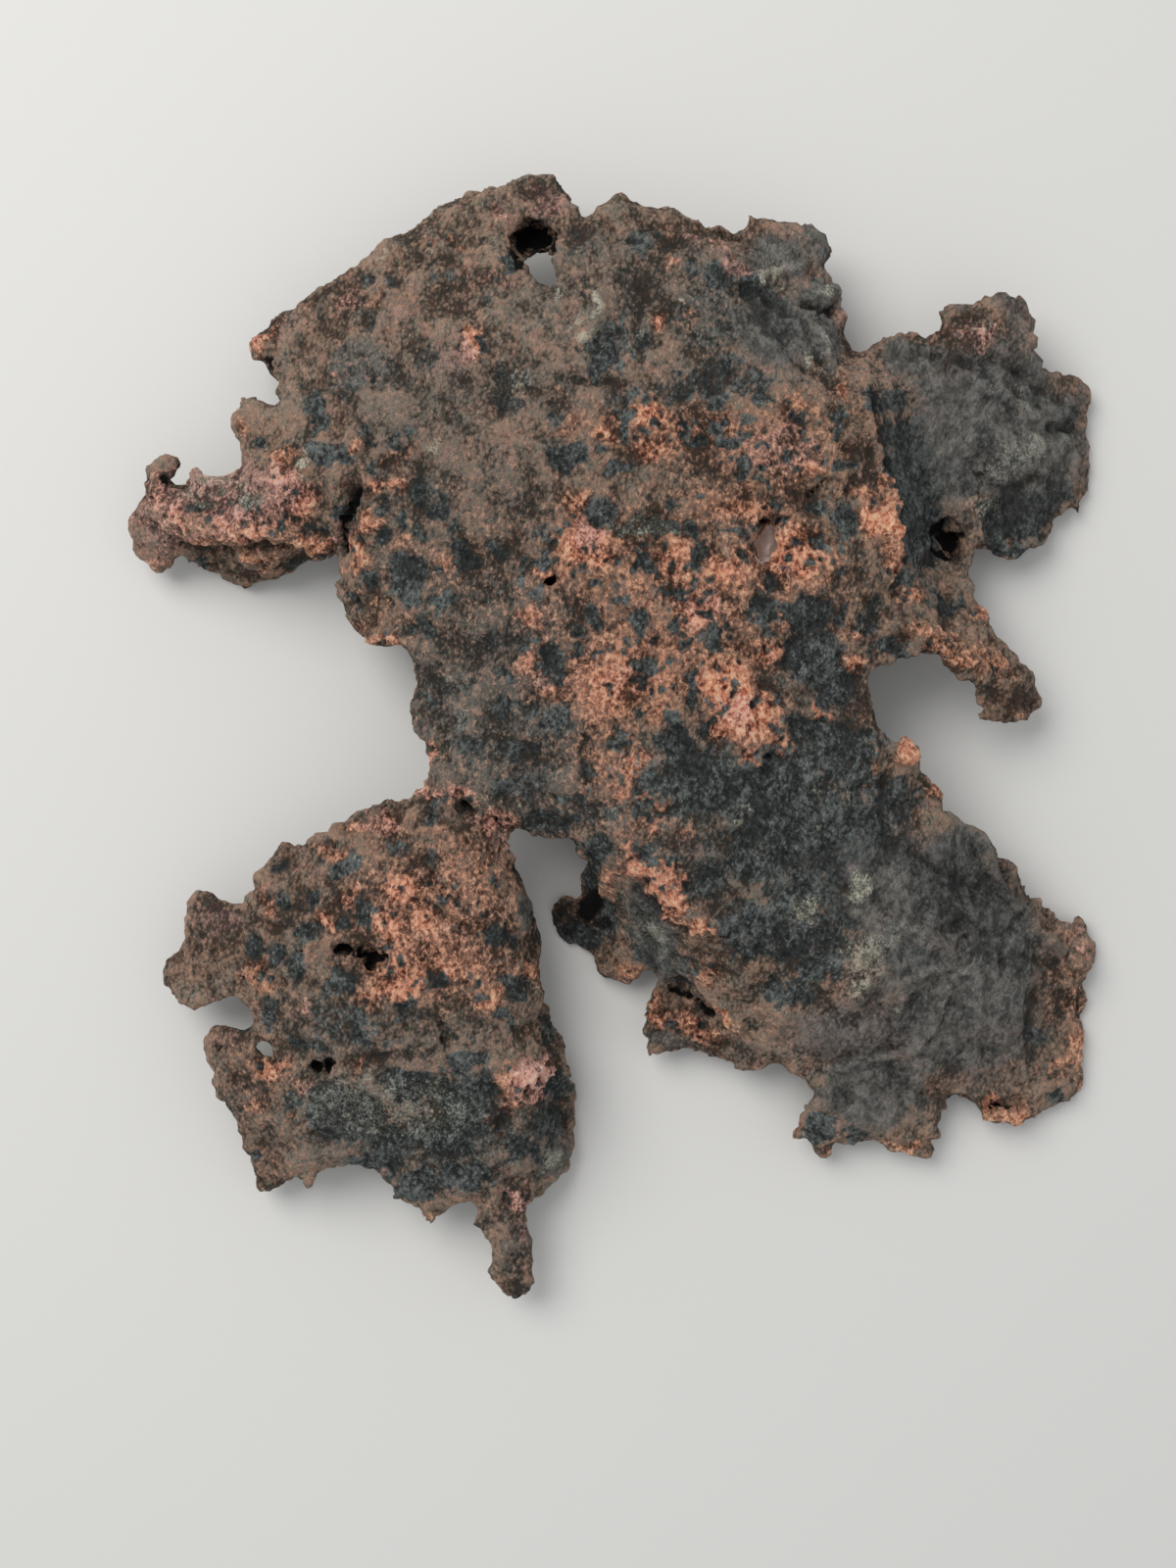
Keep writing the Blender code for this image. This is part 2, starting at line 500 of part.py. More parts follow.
def build_nugget():
    collection = bpy.data.collections.new("native copper nugget")
    bpy.context.scene.collection.children.link(collection)
    sheet = flat_plate("copper_nugget", [SHEET, HORN_HOLE, LOBE_HOLE], collection)
    low_flap = flat_plate("low flap", [LOW_FLAP], collection)
    side_flap = flat_plate("side flap", [SIDE_FLAP], collection)
    drape(sheet, SHEET_HEIGHTS, 0.0)
    drape(low_flap, LOW_FLAP_HEIGHTS, 3.1)
    drape(side_flap, SIDE_FLAP_HEIGHTS, 5.9)
    bpy.ops.object.select_all(action="DESELECT")
    for obj in (sheet, low_flap, side_flap):
        obj.select_set(True)
    bpy.context.view_layer.objects.active = sheet
    bpy.ops.object.join()
    remesh(sheet, BODY_VOXEL)
    keep_largest_body(sheet)
    stand_on_ground(sheet)
    thin_out(sheet)
    centre_on_ground(sheet)
    sheet.data.materials.clear()
    sheet.data.materials.append(copper_material())


clear_scene()
build_nugget()
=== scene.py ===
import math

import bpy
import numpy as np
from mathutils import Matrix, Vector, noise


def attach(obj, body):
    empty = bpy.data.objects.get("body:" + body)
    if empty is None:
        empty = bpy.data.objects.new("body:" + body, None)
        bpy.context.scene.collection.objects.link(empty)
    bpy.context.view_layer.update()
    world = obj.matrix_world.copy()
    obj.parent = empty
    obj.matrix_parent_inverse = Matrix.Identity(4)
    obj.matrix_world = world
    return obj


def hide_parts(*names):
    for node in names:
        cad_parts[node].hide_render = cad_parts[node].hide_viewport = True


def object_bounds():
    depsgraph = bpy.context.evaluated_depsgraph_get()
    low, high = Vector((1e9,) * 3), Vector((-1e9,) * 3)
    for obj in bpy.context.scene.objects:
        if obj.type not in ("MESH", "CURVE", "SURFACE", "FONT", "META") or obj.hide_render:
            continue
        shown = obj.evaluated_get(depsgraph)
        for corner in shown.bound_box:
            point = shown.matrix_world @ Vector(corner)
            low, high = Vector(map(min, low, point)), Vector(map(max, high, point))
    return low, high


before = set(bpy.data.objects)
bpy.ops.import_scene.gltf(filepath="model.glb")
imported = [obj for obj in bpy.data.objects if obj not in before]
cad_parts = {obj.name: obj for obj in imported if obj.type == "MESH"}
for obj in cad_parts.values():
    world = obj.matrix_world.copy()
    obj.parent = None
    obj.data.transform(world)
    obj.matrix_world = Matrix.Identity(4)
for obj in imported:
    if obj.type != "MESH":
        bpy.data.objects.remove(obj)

# %% [markdown]
# # A native copper nugget
# Native copper is copper that grew as metal in the rock. This piece is float copper: a sheet that
# ice and water carried about, so its high spots are worn to bare metal and its hollows keep a dark
# crust of copper oxides (tenorite, which is slate grey, and cuprite, which is brown).
# The frame holds the solid, about 17 by 20 cm and 3 cm high. It stays where it is and keeps its
# size. A finer skin takes its place in the picture.

MM = 0.001
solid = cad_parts["copper_nugget"]
solid_box = [list(corner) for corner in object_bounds()]
print("solid box, mm:", [[round(value / MM, 1) for value in corner] for corner in solid_box])

# %% [markdown]
# ## The plan
# Features are placed on a plan, like a map of the nugget: six steps make a millimetre, x runs right
# and y runs down. The plan is what an eye straight above sees, so a low point, which lies further
# from the eye, stands a little further out than a high one at the same place on the plan.
# One function turns the points of a mesh into places on the plan, and one goes the other way.

# %% The plan's scale and the eye above it
PLAN_PER_MM = 6.0
PLAN_MIDDLE = (600.0, 800.0)
PLAN_ORIGIN = Vector((-4.808, -7.277, 0.0)) * MM  # where the plan's middle lies in the frame
EYE_HEIGHT = 360 * MM
PLAN_LEVEL = 25 * MM  # the height at which the plan is true to size


def plan_places(points):
    """Plan x and y of points given as rows of x, y and z in metres."""
    reach = (EYE_HEIGHT - points[:, 2]) / (EYE_HEIGHT - PLAN_LEVEL)
    steps = PLAN_PER_MM / MM / reach
    x = PLAN_MIDDLE[0] + (points[:, 0] - PLAN_ORIGIN.x) * steps
    y = PLAN_MIDDLE[1] - (points[:, 1] - PLAN_ORIGIN.y) * steps
    return x, y


def frame_place(x, y, height):
    """The point in the frame at a plan place and a height in metres."""
    reach = (EYE_HEIGHT - height) / (EYE_HEIGHT - PLAN_LEVEL) / PLAN_PER_MM * MM
    return PLAN_ORIGIN + Vector(((x - PLAN_MIDDLE[0]) * reach, (PLAN_MIDDLE[1] - y) * reach, height))


# %% [markdown]
# ## Camera
# The camera hangs straight above and looks down. It could be placed by eye, but its lens follows
# from the width of the view: the long side of the picture covers 1600 plan steps at the plan's
# level.

# %% Camera
PICTURE_LENGTH = 1600 / PLAN_PER_MM * MM
SENSOR = 36.0
NEAREST_SEEN = 10 * MM

bpy.ops.object.select_all(action="DESELECT")
bpy.ops.object.camera_add(location=PLAN_ORIGIN + Vector((0, 0, EYE_HEIGHT)), rotation=(0, 0, 0))
camera = bpy.context.object
camera.data.sensor_width = SENSOR
camera.data.lens = SENSOR * (EYE_HEIGHT - PLAN_LEVEL) / PICTURE_LENGTH
camera.data.clip_start = NEAREST_SEEN
bpy.context.scene.camera = camera
print("lens, mm:", round(camera.data.lens, 2))

# %% [markdown]
# ## Floor
# The nugget lies on matt white card. Card scatters light evenly, so the eye sees a soft pale ground
# with no reflection. One large plane is enough, because seen from above its edge lies far outside
# the picture.


# %% Card under the nugget, and colours from sRGB hex values
def linear(hex_colour):
    """An sRGB colour such as 'c08a6e' as linear red, green, blue and alpha."""
    parts = [int(hex_colour[i : i + 2], 16) / 255 for i in (0, 2, 4)]
    return [p / 12.92 if p <= 0.04045 else ((p + 0.055) / 1.055) ** 2.4 for p in parts] + [1.0]


bpy.ops.mesh.primitive_plane_add(size=4.0, location=(0, 0, 0))
floor = bpy.context.object
floor.name = "floor"
floor_card = bpy.data.materials.new("matt white card")
floor_card.use_nodes = True
floor_shader = floor_card.node_tree.nodes["Principled BSDF"]
floor_shader.inputs["Base Color"].default_value = linear("dcdbd8")
floor_shader.inputs["Roughness"].default_value = 0.9
floor.data.materials.append(floor_card)
print("floor, m across:", floor.dimensions.x)

# %% [markdown]
# ## Light
# A window-like lamp at the upper left gives soft shadows towards the lower right, and a pale sky
# fills them. A smaller lamp would give harder edges than such a still picture has.

# %% Lamp and sky
LAMP_PLACE = (-0.42, 0.40, 0.72)
LAMP_SIZE = 0.7
LAMP_WATTS = 5.5
SKY_STRENGTH = 0.56

bpy.ops.object.light_add(type="AREA", location=LAMP_PLACE)
lamp = bpy.context.object
lamp.data.shape = "DISK"
lamp.data.size = LAMP_SIZE
lamp.data.energy = LAMP_WATTS
lamp.data.color = (1.0, 0.985, 0.96)
lamp.rotation_euler = (-lamp.location).to_track_quat("-Z", "Y").to_euler()
sky = bpy.data.worlds.new("pale studio")
sky.use_nodes = True
sky_light = sky.node_tree.nodes["Background"]
sky_light.inputs["Color"].default_value = (0.96, 0.98, 1.0, 1)
sky_light.inputs["Strength"].default_value = SKY_STRENGTH
bpy.context.scene.world = sky
bpy.context.scene.view_settings.view_transform = "Standard"
print("lamp to nugget, m:", round(lamp.location.length, 2))

# %% [markdown]
# ## A fine skin from the solid
# The solid has a few thousand flat facets, and the real sheet has none. A copy of it is merged,
# cut and given burrs, and is then remeshed into small even faces and smoothed until the facets are
# gone. Sculpting by hand would give the same, but could not be repeated.

# %% A merged copy of the solid
skin = bpy.data.objects.new("native_copper_skin", solid.data.copy())
bpy.context.scene.collection.objects.link(skin)
bpy.ops.object.select_all(action="DESELECT")
skin.select_set(True)
bpy.context.view_layer.objects.active = skin
bpy.ops.object.mode_set(mode="EDIT")
bpy.ops.mesh.select_all(action="SELECT")
bpy.ops.mesh.remove_doubles(threshold=0.001 * MM)
bpy.ops.object.mode_set(mode="OBJECT")
print("points after the merge:", len(skin.data.vertices))

# %% [markdown]
# ## Holes and notches
# Acid water ate right through the sheet in places, and bit notches into its rim. Each one is a
# stretched ball that a Boolean takes away. Editing the faces by hand would leave the same opening,
# but a ball is placed by a few numbers, and overlapping balls make ragged openings.

# %% Where the metal is eaten away
# x, y and height of the middle, half length, half width and half depth in millimetres, and turn
CUTS = [
    (745, 234, 22, 1.1, 1.9, 8, 0), (753, 231, 22, 1.6, 1.5, 8, 0), (721, 227, 22, 0.9, 1.3, 8, 0),
    (272, 1070, 13, 2.5, 1.7, 4, 52), (553, 282, 20, 2.3, 1.5, 6, 95), (546, 270, 19, 1.4, 1.3, 6, 0),
    (562, 294, 20, 0.9, 0.6, 6, 70), (564, 300, 20, 0.8, 0.4, 6, 75), (542, 268, 19, 1.5, 1, 6, -35),
    (563, 232, 16.8, 0.8, 0.5, 3, -30), (538, 236, 19, 1.3, 1.3, 4.5, 0),
    (536, 252, 19, 1.3, 1.9, 4, 0), (553, 238, 19, 1.9, 1, 4.5, 0), (557, 252, 19, 1.2, 1.6, 4, 0),
    (558, 597, 24.8, 1.3, 0.8, 2, -20), (380, 980, 21.4, 1.2, 0.8, 1.9, 20),
    (376, 989, 22.2, 0.5, 1, 1.8, 0), (324, 1087, 17.5, 1, 0.6, 1.8, 30),
    (337, 1086, 17.6, 0.7, 0.9, 1.8, 0), (784, 554, 27.4, 3.3, 2.1, 3.4, -66),
    (361, 514, 20.8, 1.8, 0.35, 2.2, 112), (184, 487, 12, 2, 0.8, 8, -5),
    (193, 483, 12, 1.3, 0.8, 8, 0), (274, 392, 13, 1.6, 1.9, 9, 0), (268, 404, 13, 1.8, 1.2, 9, 0),
    (280, 410, 13, 1, 0.8, 9, 0), (287, 391, 12, 1, 0.5, 5, -50), (993, 562, 9, 1.7, 0.7, 4.5, 50),
    (986, 551, 9, 1.6, 0.55, 4.5, 52), (533, 263, 18.5, 0.9, 1.6, 4, 0),
]
print("cuts:", len(CUTS))

# %% A stretched ball for each cut
bpy.ops.object.select_all(action="DESELECT")
cutters = []
for x, y, height, half_long, half_wide, half_deep, turn in CUTS:
    bpy.ops.mesh.primitive_ico_sphere_add(subdivisions=2, radius=1.0)
    cutter = bpy.context.object
    cutter.scale = Vector((half_long, half_wide, half_deep)) * MM
    cutter.rotation_euler = (0, 0, -math.radians(turn))
    cutter.location = frame_place(x, y, height * MM)
    cutters.append(cutter)
bpy.ops.object.select_all(action="DESELECT")
for cutter in cutters:
    cutter.select_set(True)
bpy.context.view_layer.objects.active = cutters[0]
bpy.ops.object.join()
bpy.ops.object.transform_apply(location=True, rotation=True, scale=True)
cutter = bpy.context.object
print("faces of the cutters:", len(cutter.data.polygons))


# %% Take the balls out of the skin
def finish_modifier(kind, **settings):
    """Adds a modifier to the skin with these settings and applies it."""
    bpy.ops.object.select_all(action="DESELECT")
    skin.select_set(True)
    bpy.context.view_layer.objects.active = skin
    modifier = skin.modifiers.new(kind.lower(), kind)
    for name, value in settings.items():
        setattr(modifier, name, value)
    bpy.ops.object.modifier_apply(modifier=modifier.name)


finish_modifier("BOOLEAN", object=cutter, operation="DIFFERENCE", solver="MANIFOLD")
bpy.data.objects.remove(cutter)
print("faces after the cuts:", len(skin.data.polygons))

# %% [markdown]
# ## Burrs
# Burrs are small points of metal that stand out from the torn rim. Each is a slim cone with its
# root sunk in the sheet. The remesh further on melts root and sheet together, so they need no
# Boolean.

# %% Where the burrs stand
# plan x and y of the root, then of the tip, and the radius at the root in millimetres
BURRS = [
    (322, 1188, 313, 1212, 1.2), (1096, 503, 1101, 524, 0.9), (1041, 345, 1059, 349, 1.8),
    (500, 1250, 486, 1253, 1.1), (440, 1226, 440, 1244, 1.1), (1001, 642, 1003, 622, 1.1),
    (733, 249, 733, 228, 1.5), (770, 240, 766, 219, 1.2), (199, 495, 199, 481, 0.9),
    (566, 192, 567, 180, 1), (545, 190, 542, 178, 1), (838, 1163, 835, 1178, 1.3),
    (945, 1163, 947, 1179, 1.2), (824, 1150, 814, 1158, 1.1), (1008, 728, 1000, 735, 1),
    (968, 324, 957, 318, 1.4), (946, 352, 957, 338, 1.5), (1003, 312, 995, 306, 1),
    (228, 500, 224, 489, 0.8), (250, 414, 246, 405, 1), (412, 1212, 404, 1222, 0.9),
    (664, 1066, 662, 1075, 1),
]
print("burrs wanted:", len(BURRS))

# %% A cone for each burr
ROOT_DEPTH = 1.2 * MM
TIP_SHARE = 0.35  # radius at the tip against the root

eye = PLAN_ORIGIN + Vector((0, 0, EYE_HEIGHT))
burrs = []
for root_x, root_y, tip_x, tip_y, radius in BURRS:
    met, root, _, _ = skin.ray_cast(eye, frame_place(root_x, root_y, 0) - eye)
    if not met:
        print("no metal under the burr at", root_x, root_y)
        continue
    root.z -= ROOT_DEPTH
    tip = frame_place(tip_x, tip_y, root.z)
    bpy.ops.mesh.primitive_cone_add(vertices=7, radius1=radius * MM, radius2=TIP_SHARE * radius * MM,
                                    depth=(tip - root).length, location=(root + tip) / 2,
                                    rotation=(tip - root).to_track_quat("Z", "Y").to_euler())
    burrs.append(bpy.context.object)
bpy.ops.object.select_all(action="DESELECT")
for piece in (*burrs, skin):
    piece.select_set(True)
bpy.context.view_layer.objects.active = skin
bpy.ops.object.join()
print("burrs:", len(burrs))

# %% [markdown]
# ## Small even faces
# A voxel remesh works like packing the shape with tiny cubes and drawing a new surface round them.
# Subdivision would keep the uneven facets and would not melt the burrs in. The underside lies on
# the card, so a Decimate limited to the faces that look down pays for the fine faces on top.

# %% Remesh, and smooth the facets away
SKIN_VOXEL = 0.7 * MM

skin.data.remesh_voxel_size = SKIN_VOXEL
bpy.ops.object.voxel_remesh()
finish_modifier("SMOOTH", factor=0.5, iterations=3)
print("faces after the remesh:", len(skin.data.polygons))


# %% Fewer faces underneath
MOST_TRIANGLES = 186_000
LOOKS_DOWN = -0.35  # upward part of the normal under which a point belongs to the underside


def rows(source, name):
    """The places or the normals of all points, as rows of x, y and z."""
    values = np.empty(len(source) * 3, np.float32)
    source.foreach_get(name, values)
    return values.reshape(-1, 3).astype(float)


underneath = skin.vertex_groups.new(name="underneath")
facing_down = np.nonzero(rows(skin.data.vertex_normals, "vector")[:, 2] < LOOKS_DOWN)[0]
underneath.add(facing_down.tolist(), 1.0, "REPLACE")
keep = MOST_TRIANGLES / (2 * len(skin.data.polygons))
finish_modifier("DECIMATE", ratio=keep, vertex_group="underneath", vertex_group_factor=1.0)
skin.data.calc_loop_triangles()
print("triangles now:", len(skin.data.loop_triangles), " points:", len(skin.data.vertices))

# %% [markdown]
# ## Where each finish lies
# Each finish is laid on the plan as patches, the way a painter blocks in areas before the detail.
# A patch says x, y, half length and half width, then its strength in percent and its turn in
# degrees. The finishes are bare copper, slate oxide, dusk (a thin dark tarnish), earth, a rosy
# bloom, ash (grey crust), a pale greenish crust that is also painted light in a few places, hollows
# with painted near-black shade, and one sleek facet whose pale colour is partly a painted sky
# reflection. Painting a picture on the skin would do too, but patches stay sharp at any size, and
# noise breaks up their edges later. Each part of the nugget gets a cell of its own.

# %% The finishes
FINISHES = ("copper", "oxide", "dusk", "earth", "rosy", "ash", "pale", "hollow_shade", "sleek_sheen")
patches = {finish: [] for finish in FINISHES}


def lay(finish, *places):
    """Adds patches, whose strength is 100 and turn 0 where they are left out."""
    for place in places:
        patches[finish].append((*place, *(100, 0)[len(place) - 4 :]))
    print(f"{finish}: {len(places)} patches more, {len(patches[finish])} in all")


print("finishes:", FINISHES)

# %% [markdown]
# ## The left arm and the plate beside it
# The arm is a folded flap. Its top was rubbed to dull copper with a rosy, partly grey bloom, and
# dark round spots of oxide sit beside it on the plate. Small patches for single spots come first
# and broad weak ones for the overall tint after them.

# %% The arm: dark spots and hollows
lay("oxide", (202, 520, 14, 8, 100, -15), (263, 452, 6, 5), (243, 419, 6, 5),
    (332, 460, 26, 12, 100, 10), (321, 412, 14, 14), (323, 432, 9, 7), (372, 436, 7, 9),
    (407, 441, 8, 7), (422, 436, 6, 6), (294, 497, 5, 4), (428, 500, 11, 15), (451, 517, 11, 14),
    (430, 544, 9, 11), (388, 513, 8, 9), (410, 529, 7, 12), (392, 544, 9, 11), (378, 591, 9, 9),
    (413, 573, 14, 10), (415, 590, 20, 15), (419, 609, 12, 9), (455, 616, 14, 9), (437, 645, 11, 6),
    (467, 560, 11, 14), (467, 535, 9, 8), (399, 452, 5, 7), (377, 455, 9, 5), (381, 477, 7, 7),
    (322, 539, 16, 5), (348, 522, 8, 10), (300, 580, 7, 6), (208, 577, 9, 6), (362, 612, 7, 8),
    (256, 506, 15, 8, 60))
# Painted near-black shade in the groove under the arm's ridge, at its tip, in its notches and in small
# pits.
lay("hollow_shade", (235, 553, 46, 3, 35, -2), (177, 556, 4, 12, 40, 10), (272, 372, 6, 9),
    (288, 377, 5, 5, 50), (168, 489, 7, 6, 80, 20), (360, 514, 4, 11, 100, 20), (352, 531, 5, 4),
    (351, 545, 3, 8, 60), (353, 563, 3, 6, 60), (362, 614, 4, 5, 60))

# %% The arm: metal and bloom
lay("copper", (270, 343, 24, 8, 45, -48), (240, 520, 100, 44, 40), (482, 350, 13, 11, 40),
    (177, 522, 6, 6, 60), (159, 508, 10, 6, 40), (161, 495, 8, 6, 40), (164, 569, 12, 8, 35),
    (226, 531, 9, 5, 50), (184, 535, 8, 4, 50, 30), (202, 553, 13, 4, 60), (287, 468, 16, 12, 50, 20),
    (262, 350, 8, 10, 40), (247, 437, 7, 10, 50), (287, 488, 14, 8, 45, 10), (309, 511, 15, 16, 50),
    (262, 541, 26, 6, 50), (318, 553, 30, 6, 50), (256, 570, 10, 4, 50), (325, 563, 14, 8, 50, -10),
    (280, 568, 20, 8, 30), (265, 587, 18, 6, 30, -10), (368, 562, 10, 12, 60),
    (374, 534, 14, 10, 60, -40), (400, 496, 14, 6, 60), (380, 498, 10, 8, 40), (419, 459, 9, 8, 50),
    (399, 468, 11, 8, 50), (361, 457, 9, 9, 50), (366, 582, 10, 12, 40), (413, 553, 13, 10, 30),
    (452, 574, 13, 13, 35), (372, 641, 16, 10, 30, 30), (395, 655, 20, 6, 50), (388, 612, 20, 16, 20),
    (425, 634, 20, 10, 25), (343, 382, 4, 3, 90))
lay("earth", (165, 575, 14, 9, 80), (265, 587, 22, 8, 90, -10), (372, 643, 20, 9, 100, 30),
    (395, 655, 24, 7), (240, 560, 60, 8, 70, 3), (145, 540, 12, 30, 50), (262, 350, 12, 14, 70, -40))
lay("rosy", (343, 382, 5, 4), (160, 500, 18, 14, 60), (230, 502, 80, 30, 95), (160, 540, 26, 36, 60),
    (350, 545, 14, 14, 60), (471, 365, 14, 20, 80), (230, 540, 90, 20, 40))
lay("pale", (225, 502, 56, 20, 75), (160, 515, 14, 22, 35), (309, 468, 6, 9, 100, -20),
    (305, 486, 3, 3, 80), (441, 459, 7, 8, 50))

# %% [markdown]
# ## The upper left and the horn
# This wing lies low and is evenly brown, with a few rubbed spots and a rosy tinge. The horn has an
# eaten hole whose walls get painted near-black shade, so that they stay dark in soft light.

# %% The upper left and the horn
lay("dusk", (370, 372, 38, 30, 85), (452, 366, 20, 20, 30))
lay("oxide", (375, 286, 10, 6, 80, -20), (452, 282, 16, 11, 55), (495, 350, 5, 9),
    (441, 361, 12, 10, 55), (430, 372, 9, 9, 60), (524, 385, 24, 14, 60), (517, 412, 20, 10, 70),
    (376, 332, 14, 12, 45), (400, 293, 14, 8, 50), (462, 300, 14, 10, 40), (350, 395, 18, 10, 50),
    (500, 310, 10, 8, 50), (521, 312, 3, 8, 80), (519, 264, 8, 12))
lay("copper", (517, 221, 12, 9, 40, 15), (560, 206, 16, 12, 20), (462, 243, 7, 5, 50),
    (441, 244, 9, 4, 45), (470, 257, 4, 7, 50), (497, 283, 30, 6, 30, 3), (482, 345, 9, 12, 50, 30),
    (484, 361, 11, 11, 50), (478, 338, 8, 5, 30), (288, 331, 10, 5, 30), (358, 305, 20, 12, 32, 20),
    (411, 320, 20, 9, 18), (389, 309, 12, 7, 30), (502, 365, 6, 6, 35), (573, 401, 9, 5, 40),
    (587, 430, 13, 12, 35), (570, 437, 10, 8, 20), (503, 425, 10, 10, 20))
lay("rosy", (452, 366, 13, 14, 80), (560, 206, 20, 18, 80), (517, 221, 14, 12, 60),
    (420, 290, 14, 12, 50), (405, 322, 24, 10, 50), (360, 305, 20, 14, 50), (300, 330, 30, 14, 40, -35),
    (497, 283, 32, 7, 50, 3))
lay("pale", (372, 310, 28, 18, 36), (524, 388, 26, 18, 42), (389, 260, 8, 5, 60, -40),
    (378, 263, 6, 4, 50, -30), (416, 242, 8, 5, 35), (436, 253, 8, 3, 45, -20),
    (568, 302, 3, 9, 90, -10), (541, 336, 11, 6, 40), (376, 342, 6, 9, 30))
# Painted near-black shade on the walls of the horn's hole.
lay("hollow_shade", (530, 264, 6, 12, 90), (530, 250, 10, 17), (548, 240, 18, 12), (560, 252, 9, 12))

# %% [markdown]
# ## The crest and the upper right knob
# The crest carries slate oxide with pale flecks. Towards the right it turns to smooth grey ash.
# Broad patches of dusk darken it as a whole, which one colour for the crest couldn't do as softly.

# %% The crest: oxide, dusk and hollows
lay("oxide", (659, 246, 14, 16, 70), (729, 283, 13, 18), (738, 292, 22, 16, 45), (614, 362, 22, 24, 70),
    (652, 352, 18, 14, 62), (700, 396, 50, 13, 60, 5), (640, 404, 24, 10, 55), (760, 392, 34, 16, 60),
    (770, 290, 16, 9, 100, 10), (788, 306, 12, 7), (706, 270, 14, 14, 55), (624, 338, 16, 14, 80),
    (620, 363, 20, 12, 90), (606, 383, 8, 8), (639, 319, 7, 8), (736, 373, 22, 14, 60),
    (590, 250, 14, 20, 50), (800, 330, 30, 20, 60, 20), (740, 340, 14, 12, 50),
    (786, 304, 26, 8, 100, 18), (838, 317, 13, 6, 100, -10), (834, 250, 16, 20, 30))
lay("dusk", (580, 300, 70, 60, 40), (700, 300, 150, 64, 50, 14), (560, 400, 90, 40, 45),
    (790, 345, 50, 40, 60, 20), (690, 360, 110, 50, 30, 6), (832, 250, 18, 24, 80),
    (720, 325, 40, 34, 95))
# Painted shade in a dark pit and under two of the knob's folds.
lay("hollow_shade", (731, 286, 16, 18, 42), (788, 306, 10, 4, 55, 15), (836, 316, 6, 3, 40))

# %% The crest: metal, earth and crust
lay("copper", (672, 330, 8, 12, 45), (702, 318, 8, 10, 40), (683, 264, 5, 14, 35),
    (624, 237, 8, 10, 16), (680, 232, 10, 14, 20), (711, 232, 18, 10, 18, 20), (682, 262, 5, 14, 35),
    (752, 273, 22, 7, 35, 38), (730, 250, 14, 8, 30, 30), (677, 331, 9, 7, 55), (703, 329, 8, 12, 40),
    (726, 321, 14, 10, 20, -30), (618, 439, 9, 9, 55), (624, 420, 8, 8, 40), (657, 421, 15, 14, 40),
    (665, 460, 13, 10, 50), (813, 411, 14, 11, 40), (859, 396, 9, 9, 60), (655, 385, 14, 6, 20))
lay("rosy", (750, 272, 24, 9, 100, 30), (705, 240, 30, 12, 40, 25), (859, 330, 5, 20, 90, -12))
lay("ash", (795, 262, 36, 28, 80), (835, 300, 24, 14), (795, 335, 56, 44, 70, 10),
    (843, 350, 15, 32, 100, -18))
# Pale crust, and painted highlights: the thin strips at 784,281, 790,286, 836,301 and 841,350 light the
# tops of the knob's folds.
lay("pale", (605, 318, 4, 13, 80, 25), (595, 346, 7, 8, 65), (589, 330, 8, 4, 60, -30),
    (611, 306, 5, 6, 80), (657, 350, 14, 4, 50), (651, 345, 3, 9, 60, 30), (683, 362, 3, 8, 50),
    (674, 380, 3, 7, 45), (695, 306, 5, 4, 80), (715, 339, 6, 3, 60), (795, 265, 30, 22, 38),
    (784, 281, 18, 4, 70, -8), (790, 286, 6, 5, 60), (836, 301, 15, 4, 60, -6),
    (841, 350, 6, 20, 50, -25), (822, 366, 4, 4), (682, 260, 2, 5, 80), (624, 355, 12, 3, 40))
lay("earth", (832, 253, 15, 22, 95), (772, 232, 8, 8, 80), (680, 232, 16, 16, 50),
    (624, 237, 14, 14, 50))
